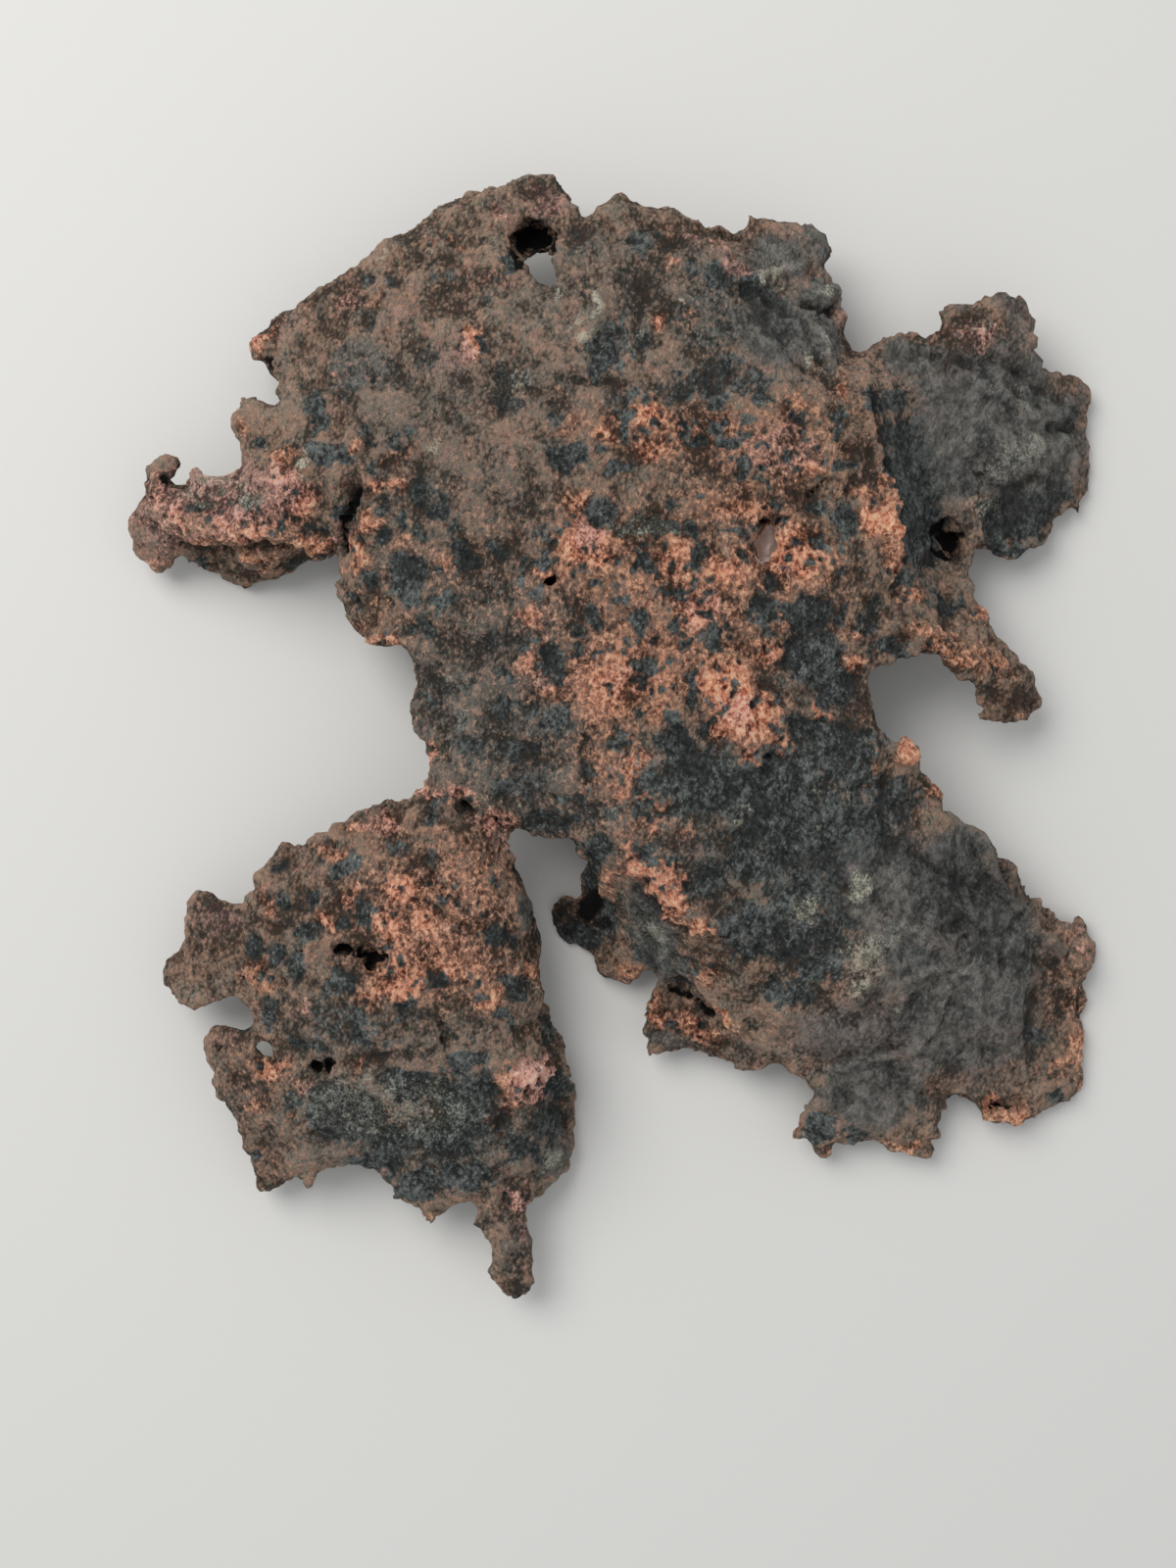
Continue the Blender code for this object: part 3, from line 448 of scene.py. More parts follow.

# %% [markdown]
# ## The middle of the plate
# This is the highest part and is worn the brightest: a net of bare copper round dark spots, because
# the oxide sits in round pits that wear doesn't reach. The large spots are laid one by one, and the
# small ones come from cells further on. One flat facet is polished and is laid as sleek; its pale
# colour is partly a painted reflection of the sky.

# %% The middle: dark spots in the net
lay("oxide", (579, 467, 22, 15), (632, 476, 13, 7), (616, 520, 18, 14), (660, 540, 45, 11, 75, 5),
    (729, 411, 8, 7), (775, 409, 14, 9), (729, 438, 9, 5), (741, 446, 6, 5), (761, 444, 7, 4),
    (761, 428, 7, 5), (713, 453, 12, 7), (743, 454, 9, 7), (756, 455, 6, 5), (779, 453, 6, 4),
    (763, 481, 9, 14), (782, 478, 7, 6), (778, 491, 5, 3), (806, 468, 4, 4), (813, 426, 8, 5),
    (824, 443, 6, 4), (854, 430, 9, 16), (832, 454, 5, 3), (863, 476, 12, 7), (863, 530, 12, 16),
    (833, 515, 9, 7), (835, 552, 14, 5, 100, 20), (857, 559, 7, 6), (827, 571, 5, 8), (681, 538, 13, 9),
    (708, 536, 9, 9), (736, 542, 5, 4), (752, 544, 9, 5), (760, 567, 3, 3), (655, 573, 8, 12),
    (668, 578, 7, 7), (711, 566, 6, 17), (710, 589, 7, 7), (608, 596, 6, 4), (626, 594, 4, 4),
    (632, 610, 13, 9), (691, 606, 12, 9), (727, 606, 4, 5), (737, 613, 5, 5), (782, 621, 16, 20),
    (791, 591, 8, 10), (804, 618, 6, 7), (607, 626, 6, 9), (653, 635, 10, 15), (688, 638, 9, 14),
    (589, 645, 8, 7), (611, 640, 6, 7), (729, 642, 9, 9), (731, 656, 9, 7), (666, 653, 5, 6),
    (587, 664, 7, 6), (563, 677, 12, 13), (658, 679, 11, 10), (678, 682, 4, 4), (706, 693, 8, 11),
    (706, 712, 6, 11), (688, 735, 8, 14), (565, 732, 18, 13), (655, 732, 7, 7), (722, 746, 8, 6),
    (720, 680, 5, 3), (831, 672, 34, 26), (850, 700, 24, 18), (828, 742, 22, 14), (828, 626, 28, 20),
    (863, 628, 7, 14), (886, 631, 7, 10), (895, 412, 10, 12), (554, 543, 14, 9, 60), (554, 571, 9, 8),
    (565, 557, 7, 6), (581, 621, 7, 7, 70), (547, 608, 7, 7), (570, 430, 8, 9, 70),
    (615, 458, 7, 6, 70), (639, 428, 7, 20), (701, 435, 4, 14), (688, 515, 6, 4), (794, 513, 6, 9, 60),
    (858, 585, 6, 6), (720, 625, 4, 4), (745, 640, 5, 4), (700, 655, 5, 5), (640, 655, 5, 6),
    (830, 690, 60, 60, 30))
lay("dusk", (700, 600, 190, 100, 20, 12), (830, 690, 60, 60, 50), (740, 470, 60, 40, 30))

# %% The middle: the net of copper
lay("copper", (665, 440, 110, 46, 16), (700, 600, 190, 90, 36, 12), (800, 465, 90, 60, 34, -20),
    (630, 690, 80, 44, 34), (600, 545, 30, 30, 20), (812, 560, 50, 34, 25), (665, 421, 14, 12, 30),
    (586, 513, 16, 9, 50), (609, 541, 14, 14, 30), (584, 559, 14, 20, 35), (612, 571, 9, 7, 40),
    (688, 568, 17, 20, 35), (720, 508, 18, 11, 10), (738, 582, 22, 14, 40), (812, 566, 20, 20, 120),
    (888, 529, 14, 20, 50), (828, 481, 13, 10, 35), (785, 668, 16, 11, 60, 20), (713, 626, 22, 22, 30),
    (563, 707, 14, 9, 50), (803, 631, 5, 9, 70, 15), (870, 677, 11, 9, 60), (838, 723, 13, 4, 90, 45),
    (850, 735, 14, 8, 30), (760, 520, 30, 10, 30), (740, 700, 26, 20, 30), (620, 700, 50, 30, 20),
    (618, 780, 48, 60, 34), (660, 846, 44, 26, 30), (690, 440, 70, 24, 20))
# The sleek facet, whose pale colour is partly a painted reflection of the sky.
lay("sleek_sheen", (784, 555, 20, 12, 100, -66))
lay("rosy", (600, 545, 16, 18, 70, 20), (752, 726, 18, 22, 55, -10), (715, 625, 34, 26, 40),
    (560, 690, 16, 12, 60), (800, 460, 40, 30, 50), (640, 690, 30, 14, 40))

# %% The middle: crust and hollows
lay("pale", (655, 540, 46, 12, 55, 5), (741, 568, 4, 11, 90, -15), (584, 560, 8, 16, 30),
    (628, 752, 5, 6, 50), (635, 767, 4, 5, 50))
lay("earth", (665, 440, 100, 40, 50), (870, 735, 20, 12, 90), (875, 440, 20, 40, 70),
    (875, 600, 20, 20, 60), (820, 505, 30, 12, 50), (828, 481, 12, 8, 80))
# Painted near-black shade in the small pits and cracks of the middle.
lay("hollow_shade", (559, 595, 8, 5, 100, -15), (558, 613, 4, 4, 70), (778, 534, 5, 3, 100, 10),
    (794, 532, 4, 5, 80), (828, 500, 10, 2, 80, -40), (840, 490, 6, 2, 70, -60),
    (783, 773, 8, 4, 70, -10), (774, 542, 2, 8, 30, 20))

# %% [markdown]
# ## The right slope and the right lobe
# Behind the plate's bright rim the sheet drops away, and this lobe was never rubbed. It is ash grey
# over slate, with two brown patches where soil still clings. Copper of negative strength takes bare
# metal away there, which is simpler than a mask of its own.

# %% The slope and the lobe: ash, oxide and hollows
lay("ash", (932, 366, 40, 24, 80), (1036, 308, 26, 13, 60), (974, 318, 15, 10, 60),
    (930, 470, 26, 80, 45, -8), (1020, 440, 96, 96, 90), (1000, 335, 50, 34, 20),
    (1040, 425, 20, 14, 90, 20), (960, 410, 34, 34, 80), (947, 356, 16, 7, 80), (1060, 440, 40, 30, 50),
    (985, 385, 40, 24, 50), (1040, 330, 14, 24, 60))
lay("oxide", (930, 562, 14, 16, 80), (910, 405, 14, 14, 80), (1032, 525, 36, 26, 130),
    (934, 500, 24, 80, 130, -8), (1060, 520, 30, 18, 80, -30), (1030, 560, 30, 8, 100, 20),
    (1075, 505, 20, 12, 100, -40), (1005, 385, 9, 8, 80), (1085, 430, 18, 24, 60),
    (886, 376, 10, 3, 60), (905, 440, 7, 14, 100, -10), (1015, 405, 26, 6, 60, 20),
    (965, 480, 12, 14, 50), (985, 500, 12, 8, 60))
# Painted near-black shade in the arch under the plate's edge and along the lobe's lower side.
lay("hollow_shade", (1040, 532, 44, 26, 47), (966, 553, 12, 8), (958, 537, 4, 10, 100, 15), (972, 546, 12, 5),
    (965, 563, 7, 9), (982, 546, 4, 3))

# %% The slope and the lobe: crust, earth and metal
lay("pale", (1000, 340, 28, 17, 60), (1000, 517, 20, 14, 58, 15), (1054, 458, 16, 15, 50),
    (1020, 480, 20, 9, 42, -10), (1040, 464, 30, 22, 40), (1010, 480, 20, 10, 30, -20),
    (968, 425, 16, 14, 25), (887, 380, 4, 3), (962, 362, 3, 8, 60, -45), (1052, 455, 6, 14, 35, 10),
    (935, 500, 2, 20, 20, -10))
lay("earth", (1000, 517, 20, 15, 130, 20), (998, 336, 24, 14), (971, 337, 10, 13, 70),
    (1081, 390, 18, 14, 80), (1108, 430, 4, 60, 70), (1000, 350, 14, 9, 50), (900, 350, 34, 6, 90, -14),
    (1052, 490, 10, 10, 50), (981, 560, 12, 14, 60), (1102, 500, 6, 10, 60), (965, 317, 10, 8, 60))
lay("rosy", (1000, 517, 19, 14, 50, 15), (1000, 342, 26, 16, 80), (1106, 430, 6, 60, 40),
    (1040, 312, 12, 8, 50, 20), (930, 500, 16, 60, 30))
lay("copper", (1000, 342, 26, 15, 52), (932, 366, 36, 20, -25), (1002, 517, 18, 13, 42),
    (900, 350, 30, 5, 25, -14), (910, 522, 13, 30, 60, 8), (903, 490, 10, 10, 50),
    (918, 544, 10, 16, 50), (893, 534, 18, 10, 40), (880, 505, 14, 8, 40))

# %% [markdown]
# ## The fringe and the finger
# The finger is a thin strip that was dragged along the ground, so it is copper on top with an
# earthy tip. The fringe beside it is a ragged edge with bright points.

# %% The fringe and the finger
lay("copper", (928, 608, 9, 9, 70), (908, 573, 10, 16, 50), (972, 665, 38, 14, 42, 20),
    (940, 645, 20, 6, 40, 10), (1026, 684, 18, 6, 45, 20), (1001, 628, 8, 6, 60),
    (926, 768, 12, 10, 90), (897, 782, 6, 9, 60, 20), (880, 804, 5, 8, 40), (950, 808, 14, 6, 70, 20),
    (871, 678, 12, 8, 50), (873, 645, 12, 6, 40), (840, 727, 12, 4, 50, 48), (1037, 732, 9, 5, 35),
    (1010, 665, 20, 12, 20, 20), (985, 680, 16, 6, 30, 30))
lay("earth", (1030, 719, 28, 18), (932, 828, 12, 13, 90), (913, 843, 8, 8, 70), (965, 593, 14, 14, 70),
    (990, 665, 44, 16, 60, 20), (1026, 885, 9, 9, 80), (940, 857, 8, 20, 60))
lay("oxide", (895, 612, 8, 7), (887, 636, 9, 11, 80), (922, 588, 11, 12), (972, 619, 14, 12, 80),
    (983, 617, 6, 9), (908, 660, 22, 8), (952, 610, 10, 14, 60), (870, 790, 30, 30, 70),
    (880, 760, 26, 20, 60), (1070, 695, 20, 14, 60))
lay("pale", (839, 839, 6, 5, 90), (867, 815, 8, 5, 60, -40), (885, 640, 4, 5, 60), (838, 808, 4, 3, 80))

# %% [markdown]
# ## The left of the plate, down to the neck
# Here a thin dusk lies over everything, with small glints of metal in it. The dusk is broad and
# the glints are small, so the two never look like one pattern.

# %% The left plate: dark spots and dusk
lay("oxide", (471, 563, 10, 15), (480, 578, 10, 8), (508, 565, 12, 10, 80), (532, 573, 7, 6),
    (535, 592, 7, 6), (557, 670, 8, 13), (566, 686, 9, 9), (532, 655, 7, 8), (588, 641, 6, 7),
    (586, 665, 6, 7), (566, 736, 20, 16, 80), (510, 723, 14, 14, 75), (530, 765, 22, 12, 75),
    (476, 762, 18, 14, 75), (518, 689, 11, 7, 80), (581, 816, 16, 9, 80), (518, 804, 20, 10, 60),
    (442, 711, 9, 9, 80), (445, 821, 13, 11, 80), (500, 610, 20, 14, 45), (560, 840, 30, 12, 80),
    (470, 700, 20, 12, 50), (425, 640, 16, 12, 70), (500, 655, 14, 10, 70), (470, 735, 14, 10, 60),
    (535, 720, 14, 10, 70), (610, 830, 24, 12, 60), (540, 800, 20, 14, 60))
lay("dusk", (535, 770, 90, 60, 80), (500, 700, 110, 150, 75), (480, 510, 90, 70, 50),
    (430, 420, 90, 66, 50), (430, 580, 40, 60, 55))
# Painted shade in small pits and a crack near the neck.
lay("hollow_shade", (474, 823, 6, 4, 80, 10), (482, 828, 8, 3, 60, 20), (523, 844, 2, 5, 60))

# %% The left plate: metal and bloom
lay("copper", (440, 570, 66, 110, 10), (452, 812, 22, 12, 35), (490, 700, 110, 150, 12),
    (542, 626, 14, 7, 50), (530, 626, 10, 6, 40), (547, 638, 9, 6, 40), (559, 584, 14, 6, 60),
    (542, 682, 16, 11, 45, 20), (535, 665, 9, 8, 35), (549, 655, 8, 6, 35), (437, 806, 20, 9, 45),
    (471, 809, 12, 7, 40), (496, 840, 10, 14, 45), (512, 836, 14, 7, 50), (389, 843, 24, 9, 35),
    (441, 772, 4, 14, 80, 10), (391, 648, 6, 4, 50))
lay("pale", (467, 731, 13, 11, 40), (569, 792, 12, 9, 40), (457, 694, 5, 4, 60), (441, 737, 4, 3, 60),
    (530, 819, 4, 3, 90), (620, 843, 5, 5, 60), (608, 827, 9, 6, 40))
lay("rosy", (450, 808, 36, 10, 60), (500, 840, 20, 14, 60), (389, 843, 26, 10, 50))

# %% [markdown]
# ## The lower plate, its bright folds and its edge
# The slate is darkest here. In it lie crumpled folds of bright copper, torn up when the sheet was
# bent. The same places get their crumpled shape in the relief.

# %% The lower plate: copper
lay("copper", (760, 722, 48, 30, 80, 48), (735, 748, 18, 9, 70, 20), (764, 775, 12, 11, 80),
    (800, 763, 13, 8, 50, 15), (674, 736, 12, 8, 40, 30), (683, 718, 9, 8, 40),
    (648, 779, 12, 8, 60, -30), (640, 791, 9, 6, 40), (608, 787, 8, 7, 30), (634, 809, 8, 8, 55),
    (658, 811, 9, 5, 50), (673, 823, 11, 9, 40), (668, 841, 7, 4, 80), (705, 851, 8, 7, 50),
    (741, 861, 5, 6, 90), (670, 900, 27, 18, 110, 38), (691, 920, 13, 15, 100, 45),
    (725, 943, 20, 8, 80, 22), (707, 944, 12, 8, 70), (646, 867, 5, 9, 70, -10),
    (657, 888, 9, 9, 80, 30), (688, 893, 8, 9, 80))

# %% The lower plate: slate, crust and hollows
lay("oxide", (661, 873, 9, 12, 100, 15), (689, 877, 8, 6), (673, 859, 9, 6, 70),
    (668, 798, 20, 13, 100, -20), (655, 826, 12, 12, 80), (610, 868, 16, 16), (715, 800, 44, 40, 85),
    (790, 810, 60, 44, 90), (780, 870, 50, 36, 85), (720, 900, 22, 26, 75), (765, 950, 34, 34, 85),
    (690, 760, 14, 26, 90), (630, 757, 9, 14, 90), (598, 786, 9, 9, 80), (674, 756, 8, 11, 80),
    (850, 770, 52, 36, 85), (860, 850, 66, 42, 85), (825, 930, 50, 60, 80, 20),
    (700, 985, 20, 10, 60, 30), (720, 840, 150, 90, 32, 10))
lay("dusk", (720, 840, 150, 90, 60, 10))
lay("earth", (805, 895, 26, 9, 90), (813, 994, 8, 6, 90), (789, 976, 14, 6, 70),
    (720, 978, 20, 12, 60, 40), (650, 850, 30, 10, 50))
lay("pale", (777, 871, 5, 8, 50, -30), (753, 836, 5, 5, 80), (761, 829, 3, 3, 80), (621, 822, 4, 4, 80),
    (605, 826, 8, 3, 50), (632, 918, 7, 16, 40, -30), (640, 945, 8, 26, 30, -15), (688, 944, 3, 2),
    (742, 874, 4, 3, 80), (717, 896, 4, 5, 60))
# Painted shade along the creases of the lower plate.
lay("hollow_shade", (671, 925, 26, 2, 60, 45), (690, 956, 10, 2, 50, 45), (608, 882, 16, 3, 50, 40))

# %% [markdown]
# ## The flaps and the leg's steep face
# Two small flaps lie low under the leg and catch little light. Painted near-black shade darkens them
# further, because soft sky light alone would leave them too bright. Pale crust on the lower flap and
# the steep face is partly painted light, which lifts them out of their shade.

# %% The flaps and the steep face
lay("oxide", (575, 938, 18, 24, 40), (602, 896, 10, 22), (617, 936, 12, 16), (665, 927, 17, 20, 70, 40),
    (665, 973, 18, 16, 70), (685, 1046, 8, 6, 50), (590, 960, 20, 16), (700, 1000, 16, 8, 60, 30))
lay("earth", (628, 966, 18, 14), (623, 980, 20, 18), (575, 938, 18, 24), (681, 1063, 18, 9, 60))
lay("copper", (695, 1046, 22, 12, 45, 20), (622, 899, 8, 15, 60, 10), (636, 881, 6, 8, 50, 30),
    (642, 990, 15, 9, 50, -10), (669, 1023, 9, 18, 50), (673, 1042, 11, 9, 60),
    (708, 1040, 16, 7, 60, 42), (719, 1056, 16, 9, 60, 50), (735, 1060, 6, 8, 50),
    (715, 996, 20, 9, 60, 20), (741, 1033, 24, 3, 90, 42))
lay("ash", (681, 1063, 20, 10, 90), (680, 985, 16, 16, 90), (761, 1071, 20, 14, 50),
    (668, 950, 20, 50, 95, -28), (575, 938, 16, 20, 40))
# Pale crust; on the lower flap (628,966) and the steep face (668,950) it is also painted light that lifts
# them out of their shade.
lay("pale", (681, 986, 3, 8, 50), (761, 1071, 18, 12, 20), (628, 966, 16, 16, 30),
    (668, 950, 14, 40, 45, -28))
# Painted near-black shade under the flaps and in the cracks of the steep face.
lay("hollow_shade", (700, 1015, 14, 3, 100, 30), (719, 1030, 12, 3, 100, 42), (601, 925, 14, 20, 80, 20),
    (606, 900, 9, 16, 50), (614, 944, 12, 7, 65), (575, 938, 15, 24, 52), (690, 1008, 6, 3, 90))

# %% [markdown]
# ## The leg
# The leg is smooth and ash grey with a pale green crust of malachite dust, a purple-brown patch, and
# a rubbed copper rim. The ash goes on as large overlapping patches, so it fades out unevenly as
# real crust does.

# %% The leg: crust, earth and bloom
lay("pale", (886, 976, 20, 26, 52), (880, 1004, 9, 14, 60), (866, 968, 12, 7, 50),
    (877, 903, 9, 17, 80), (822, 930, 16, 13, 75), (910, 960, 11, 8, 50), (877, 1013, 9, 9, 60),
    (915, 1032, 10, 6, 50), (917, 940, 14, 6, 40, 15), (995, 980, 4, 3, 80), (981, 951, 2, 3),
    (842, 945, 8, 5, 40))
lay("earth", (830, 1032, 40, 14, 50), (862, 1017, 20, 10, 50), (1010, 1060, 30, 20, 30),
    (1075, 1050, 30, 60, 45), (900, 930, 22, 16, 40), (955, 962, 28, 16, 50),
    (1040, 910, 16, 9, 90, 20), (1065, 940, 20, 9, 70, 35), (1000, 1095, 40, 12, 50),
    (960, 1110, 20, 10, 60), (922, 1168, 22, 8, 80), (1100, 1050, 12, 80, 60), (888, 985, 12, 10, 70),
    (800, 1050, 24, 20, 70))
lay("rosy", (872, 1050, 66, 32, 75), (940, 965, 34, 26, 45), (1104, 965, 8, 20, 50),
    (955, 962, 20, 12, 50), (885, 970, 14, 10, 40))

# %% The leg: metal, ash and slate
lay("copper", (866, 1050, 78, 40, -30), (890, 970, 62, 54, -34), (1094, 1050, 13, 60, 12),
    (1075, 996, 16, 9, 32), (1080, 1025, 16, 12, 25), (1090, 1065, 16, 14, 28),
    (1082, 1090, 16, 8, 50, -30), (1102, 1105, 5, 8, 70), (1072, 1045, 10, 10, 30),
    (1032, 1055, 9, 7, 35), (1030, 1085, 9, 7, 50), (1010, 1127, 9, 7, 80, 50),
    (1033, 1138, 18, 6, 90, -8), (930, 1127, 7, 9, 45), (922, 1170, 18, 6, 50, 20),
    (940, 1172, 9, 6, 50), (1097, 955, 9, 10, 25), (1107, 975, 5, 10, 40), (817, 1155, 4, 6, 60),
    (840, 1172, 8, 4, 40), (1099, 1020, 7, 60, 20), (1060, 1010, 30, 50, 6))
lay("ash", (876, 1050, 74, 34, 42), (960, 940, 120, 76, 95, 35), (985, 1038, 86, 74, 85),
    (1050, 1040, 40, 60, 50), (975, 868, 34, 24, 90), (905, 1005, 40, 18, 60, -20),
    (892, 1110, 56, 44, 90), (1000, 1025, 50, 36, 35), (866, 1052, 64, 30, 55),
    (1070, 960, 30, 8, 60, 38))
lay("dusk", (985, 905, 90, 50, 60, 30), (1040, 1010, 60, 60, 30), (866, 1050, 70, 34, 62),
    (905, 975, 30, 40, 50))
lay("oxide", (838, 972, 30, 34, 80, 10), (1000, 908, 34, 14, 90, 10), (935, 975, 20, 10, 80),
    (1030, 965, 34, 14, 60), (1055, 1057, 14, 9, 80), (1050, 987, 14, 12, 70), (805, 1012, 26, 14),
    (830, 987, 20, 12), (862, 940, 14, 10), (875, 1157, 14, 9), (905, 815, 40, 24, 70),
    (835, 1150, 16, 18), (1077, 1115, 10, 8), (810, 960, 34, 24, 80), (860, 890, 30, 14, 60))
# Painted shade: a broad weak patch over the leg's upper slope, and near-black in its cracks and pits.
lay("hollow_shade", (990, 905, 84, 50, 46, 30), (1025, 1129, 12, 3, 100, 5), (1077, 1114, 6, 5, 50),
    (985, 957, 5, 2, 70, 60), (1090, 977, 3, 7, 70, -30), (1048, 1124, 5, 3, 60, 30))

# %% [markdown]
# ## The lower left lobe and its tail
# Its upper half is rubbed copper with dark spots, and its lower half is slate under a thin pale
# crust. A pink lump stands on its right side, and the tail below it is earthy.

# %% The lower left lobe: dark spots and dusk
lay("oxide", (290, 917, 8, 11), (316, 921, 10, 12), (258, 966, 9, 13), (281, 975, 11, 17),
    (310, 952, 11, 11), (276, 1030, 13, 16), (345, 885, 9, 9), (362, 882, 10, 11), (372, 931, 13, 14),
    (350, 943, 9, 9), (348, 1000, 16, 12), (335, 1040, 20, 26, 55), (362, 1038, 16, 14, 80),
    (368, 1058, 12, 9), (304, 986, 11, 13), (321, 1067, 12, 10), (281, 885, 6, 6), (347, 1136, 40, 32),
    (296, 1122, 8, 9, 80), (408, 864, 14, 11, 70), (440, 836, 11, 9, 80), (510, 903, 5, 7),
    (510, 959, 16, 9), (528, 1009, 20, 11, 100, 30), (514, 1040, 17, 7, 100, 30),
    (450, 1002, 14, 11, 80), (486, 1061, 6, 5), (475, 1083, 20, 14), (475, 1118, 30, 24),
    (415, 1030, 16, 12, 80), (420, 1107, 28, 20), (401, 1165, 24, 18), (426, 1210, 26, 14),
    (532, 1171, 16, 12), (570, 1107, 14, 14), (563, 1146, 20, 20), (460, 1160, 40, 24),
    (385, 1185, 30, 12), (545, 905, 7, 26, 80, -14), (560, 1050, 7, 20, 100, -10),
    (261, 1179, 9, 8, 80), (440, 870, 10, 9, 50), (475, 1200, 30, 14), (335, 1010, 12, 9, 70),
    (400, 1060, 12, 9, 50), (300, 1065, 8, 12, 70), (430, 1150, 150, 60, 40, 5))
lay("dusk", (525, 1275, 18, 34, 70), (258, 1130, 22, 40, 50, -20), (430, 1150, 150, 60, 55, 5),
    (440, 930, 140, 90, 25), (410, 1045, 120, 46, 50))
# Painted near-black shade in the lobe's slits, pits and cracks, and a weaker shade in two dips by its left
# edge.
lay("hollow_shade", (352, 970, 9, 4, 100, 20), (370, 973, 10, 3, 100, 5), (377, 984, 4, 10, 100, 15),
    (390, 977, 9, 4, 100, -10), (324, 1087, 7, 5, 100, 30), (337, 1087, 6, 6),
    (307, 969, 6, 2, 80, -10), (448, 1045, 6, 5, 60), (453, 1062, 6, 7, 60), (292, 943, 12, 3, 50, 10),
    (222, 1068, 4, 4, 60), (236, 1003, 7, 7, 35), (234, 985, 9, 8, 25))

# %% The lower left lobe: copper
lay("copper", (440, 930, 120, 84, 36), (450, 1000, 90, 40, 25), (480, 870, 50, 40, 8),
    (410, 1000, 30, 20, 20), (260, 1110, 30, 60, 20, -20), (412, 910, 18, 14, 40),
    (433, 938, 10, 9, 60), (454, 987, 8, 7, 50), (415, 1008, 16, 10, 45), (496, 1019, 10, 8, 50),
    (542, 994, 10, 8, 40), (333, 943, 11, 11, 60), (356, 914, 14, 5, 70, -30), (330, 865, 12, 8, 40),
    (345, 871, 8, 7, 40), (391, 943, 10, 9, 50), (405, 905, 14, 12, 30), (402, 951, 10, 10, 40),
    (362, 845, 14, 7, 40), (396, 836, 10, 8, 30), (373, 1021, 14, 10, 45), (399, 1006, 16, 14, 40),
    (258, 992, 14, 11, 50), (275, 1006, 14, 8, 40), (310, 1029, 8, 9, 50), (275, 1090, 16, 12, 50),
    (261, 1130, 14, 8, 25), (313, 1110, 16, 10, 45), (295, 1090, 6, 9, 40), (370, 1090, 11, 7, 50),
    (394, 1143, 4, 14, 80), (394, 1155, 5, 4), (293, 1136, 6, 5, 50), (275, 923, 9, 16, 50, -20),
    (429, 1171, 5, 4, 90), (440, 1239, 6, 6, 70), (557, 1090, 14, 12, 50), (543, 1108, 16, 20, 80, 20),
    (521, 1097, 18, 18, 50), (517, 1128, 13, 13, 55), (510, 1157, 8, 8, 50), (479, 1164, 12, 9, 35),
    (528, 1222, 16, 12, 50), (532, 1255, 6, 12, 30))

# %% The lower left lobe: bloom, earth and crust
lay("rosy", (545, 1100, 24, 26, 100, 20), (221, 935, 26, 18, 80), (528, 1222, 18, 12, 80),
    (532, 1255, 8, 16), (520, 860, 20, 12, 50), (310, 1029, 9, 10, 60), (313, 1110, 14, 10, 60),
    (230, 1060, 20, 14, 60), (430, 930, 110, 70, 25))
lay("earth", (212, 975, 36, 24, 90), (221, 935, 26, 18, 60), (232, 1061, 22, 18, 80),
    (261, 1159, 24, 18, 70), (275, 1194, 22, 16, 80), (245, 1110, 14, 40, 60, -20),
    (304, 1150, 22, 22, 70), (525, 1280, 20, 34, 90), (290, 874, 11, 9, 70), (440, 1225, 10, 10, 60))
lay("pale", (395, 1130, 110, 40, 42, 5), (560, 1181, 18, 9, 60, -45), (281, 877, 2, 2),
    (366, 880, 2, 8, 70, 15), (500, 1227, 9, 9, 30), (310, 1023, 4, 3, 60), (414, 957, 6, 5, 35))
lay("ash", (536, 935, 9, 26, 80, -20), (560, 1181, 22, 14, 80, -45), (347, 1136, 44, 34, 50),
    (560, 1150, 26, 30, 40))

# %% [markdown]
# ## Noise
# Weathering looks random but has sizes: lumps some millimetres across, grains under one. Noise at
# a chosen wavelength gives each. It is worked out on all the skin's points as one array, and comes
# out the same each time. A Clouds texture with a Displace modifier would bend the skin too, but
# couldn't be mixed with the patches.

# %% The skin's points and normals as arrays
points = rows(skin.data.vertices, "co")
normals = rows(skin.data.vertex_normals, "vector")
print("points as an array:", points.shape)


# %% Noise at a size in millimetres
def ripple(points, wavelength, seed):
    """Smooth noise from about -1 to 1, with lumps that many millimetres across."""
    scaled = points / (wavelength * MM) + seed * 17.3
    return np.array([noise.noise(Vector(place)) for place in scaled])


def layered(points, wavelength, seed, layers=3):
    """Noise with finer and weaker noise on top."""
    return sum(ripple(points, wavelength / 2**k, seed + k) * 0.55**k for k in range(layers))


# %% [markdown]
# ## From patches to coverage
# Each list becomes one number at every point of the skin, from 0 where the finish is absent to 1
# where it covers all. Noise moves the places a little before they are measured, so the edges come
# out ragged. The underside, which lay in the soil, gets an even middling cover.


# %% Strongest patch, and sum of patches
def smooth_step(value, low, high):
    """0 below low, 1 above high, and a smooth rise between them."""
    share = np.clip((value - low) / (high - low), 0, 1)
    return share * share * (3 - 2 * share)


def reach_of(x, y, place):
    """Distance from a patch's middle, where 1 is its edge."""
    centre_x, centre_y, half_long, half_wide, _, turn = place
    turn = math.radians(turn)
    along_patch = ((x - centre_x) * math.cos(turn) + (y - centre_y) * math.sin(turn)) / half_long
    across_patch = ((y - centre_y) * math.cos(turn) - (x - centre_x) * math.sin(turn)) / half_wide
    return np.hypot(along_patch, across_patch)


def most(x, y, places, soft=0.45):
    """The strongest patch at each point, with edges that fade over this share of its size."""
    cover = np.zeros(len(x))
    for place in places:
        patch = 1 - smooth_step(reach_of(x, y, place), 1 - soft, 1 + soft)
        cover = np.maximum(cover, place[4] / 100 * patch)
    return cover


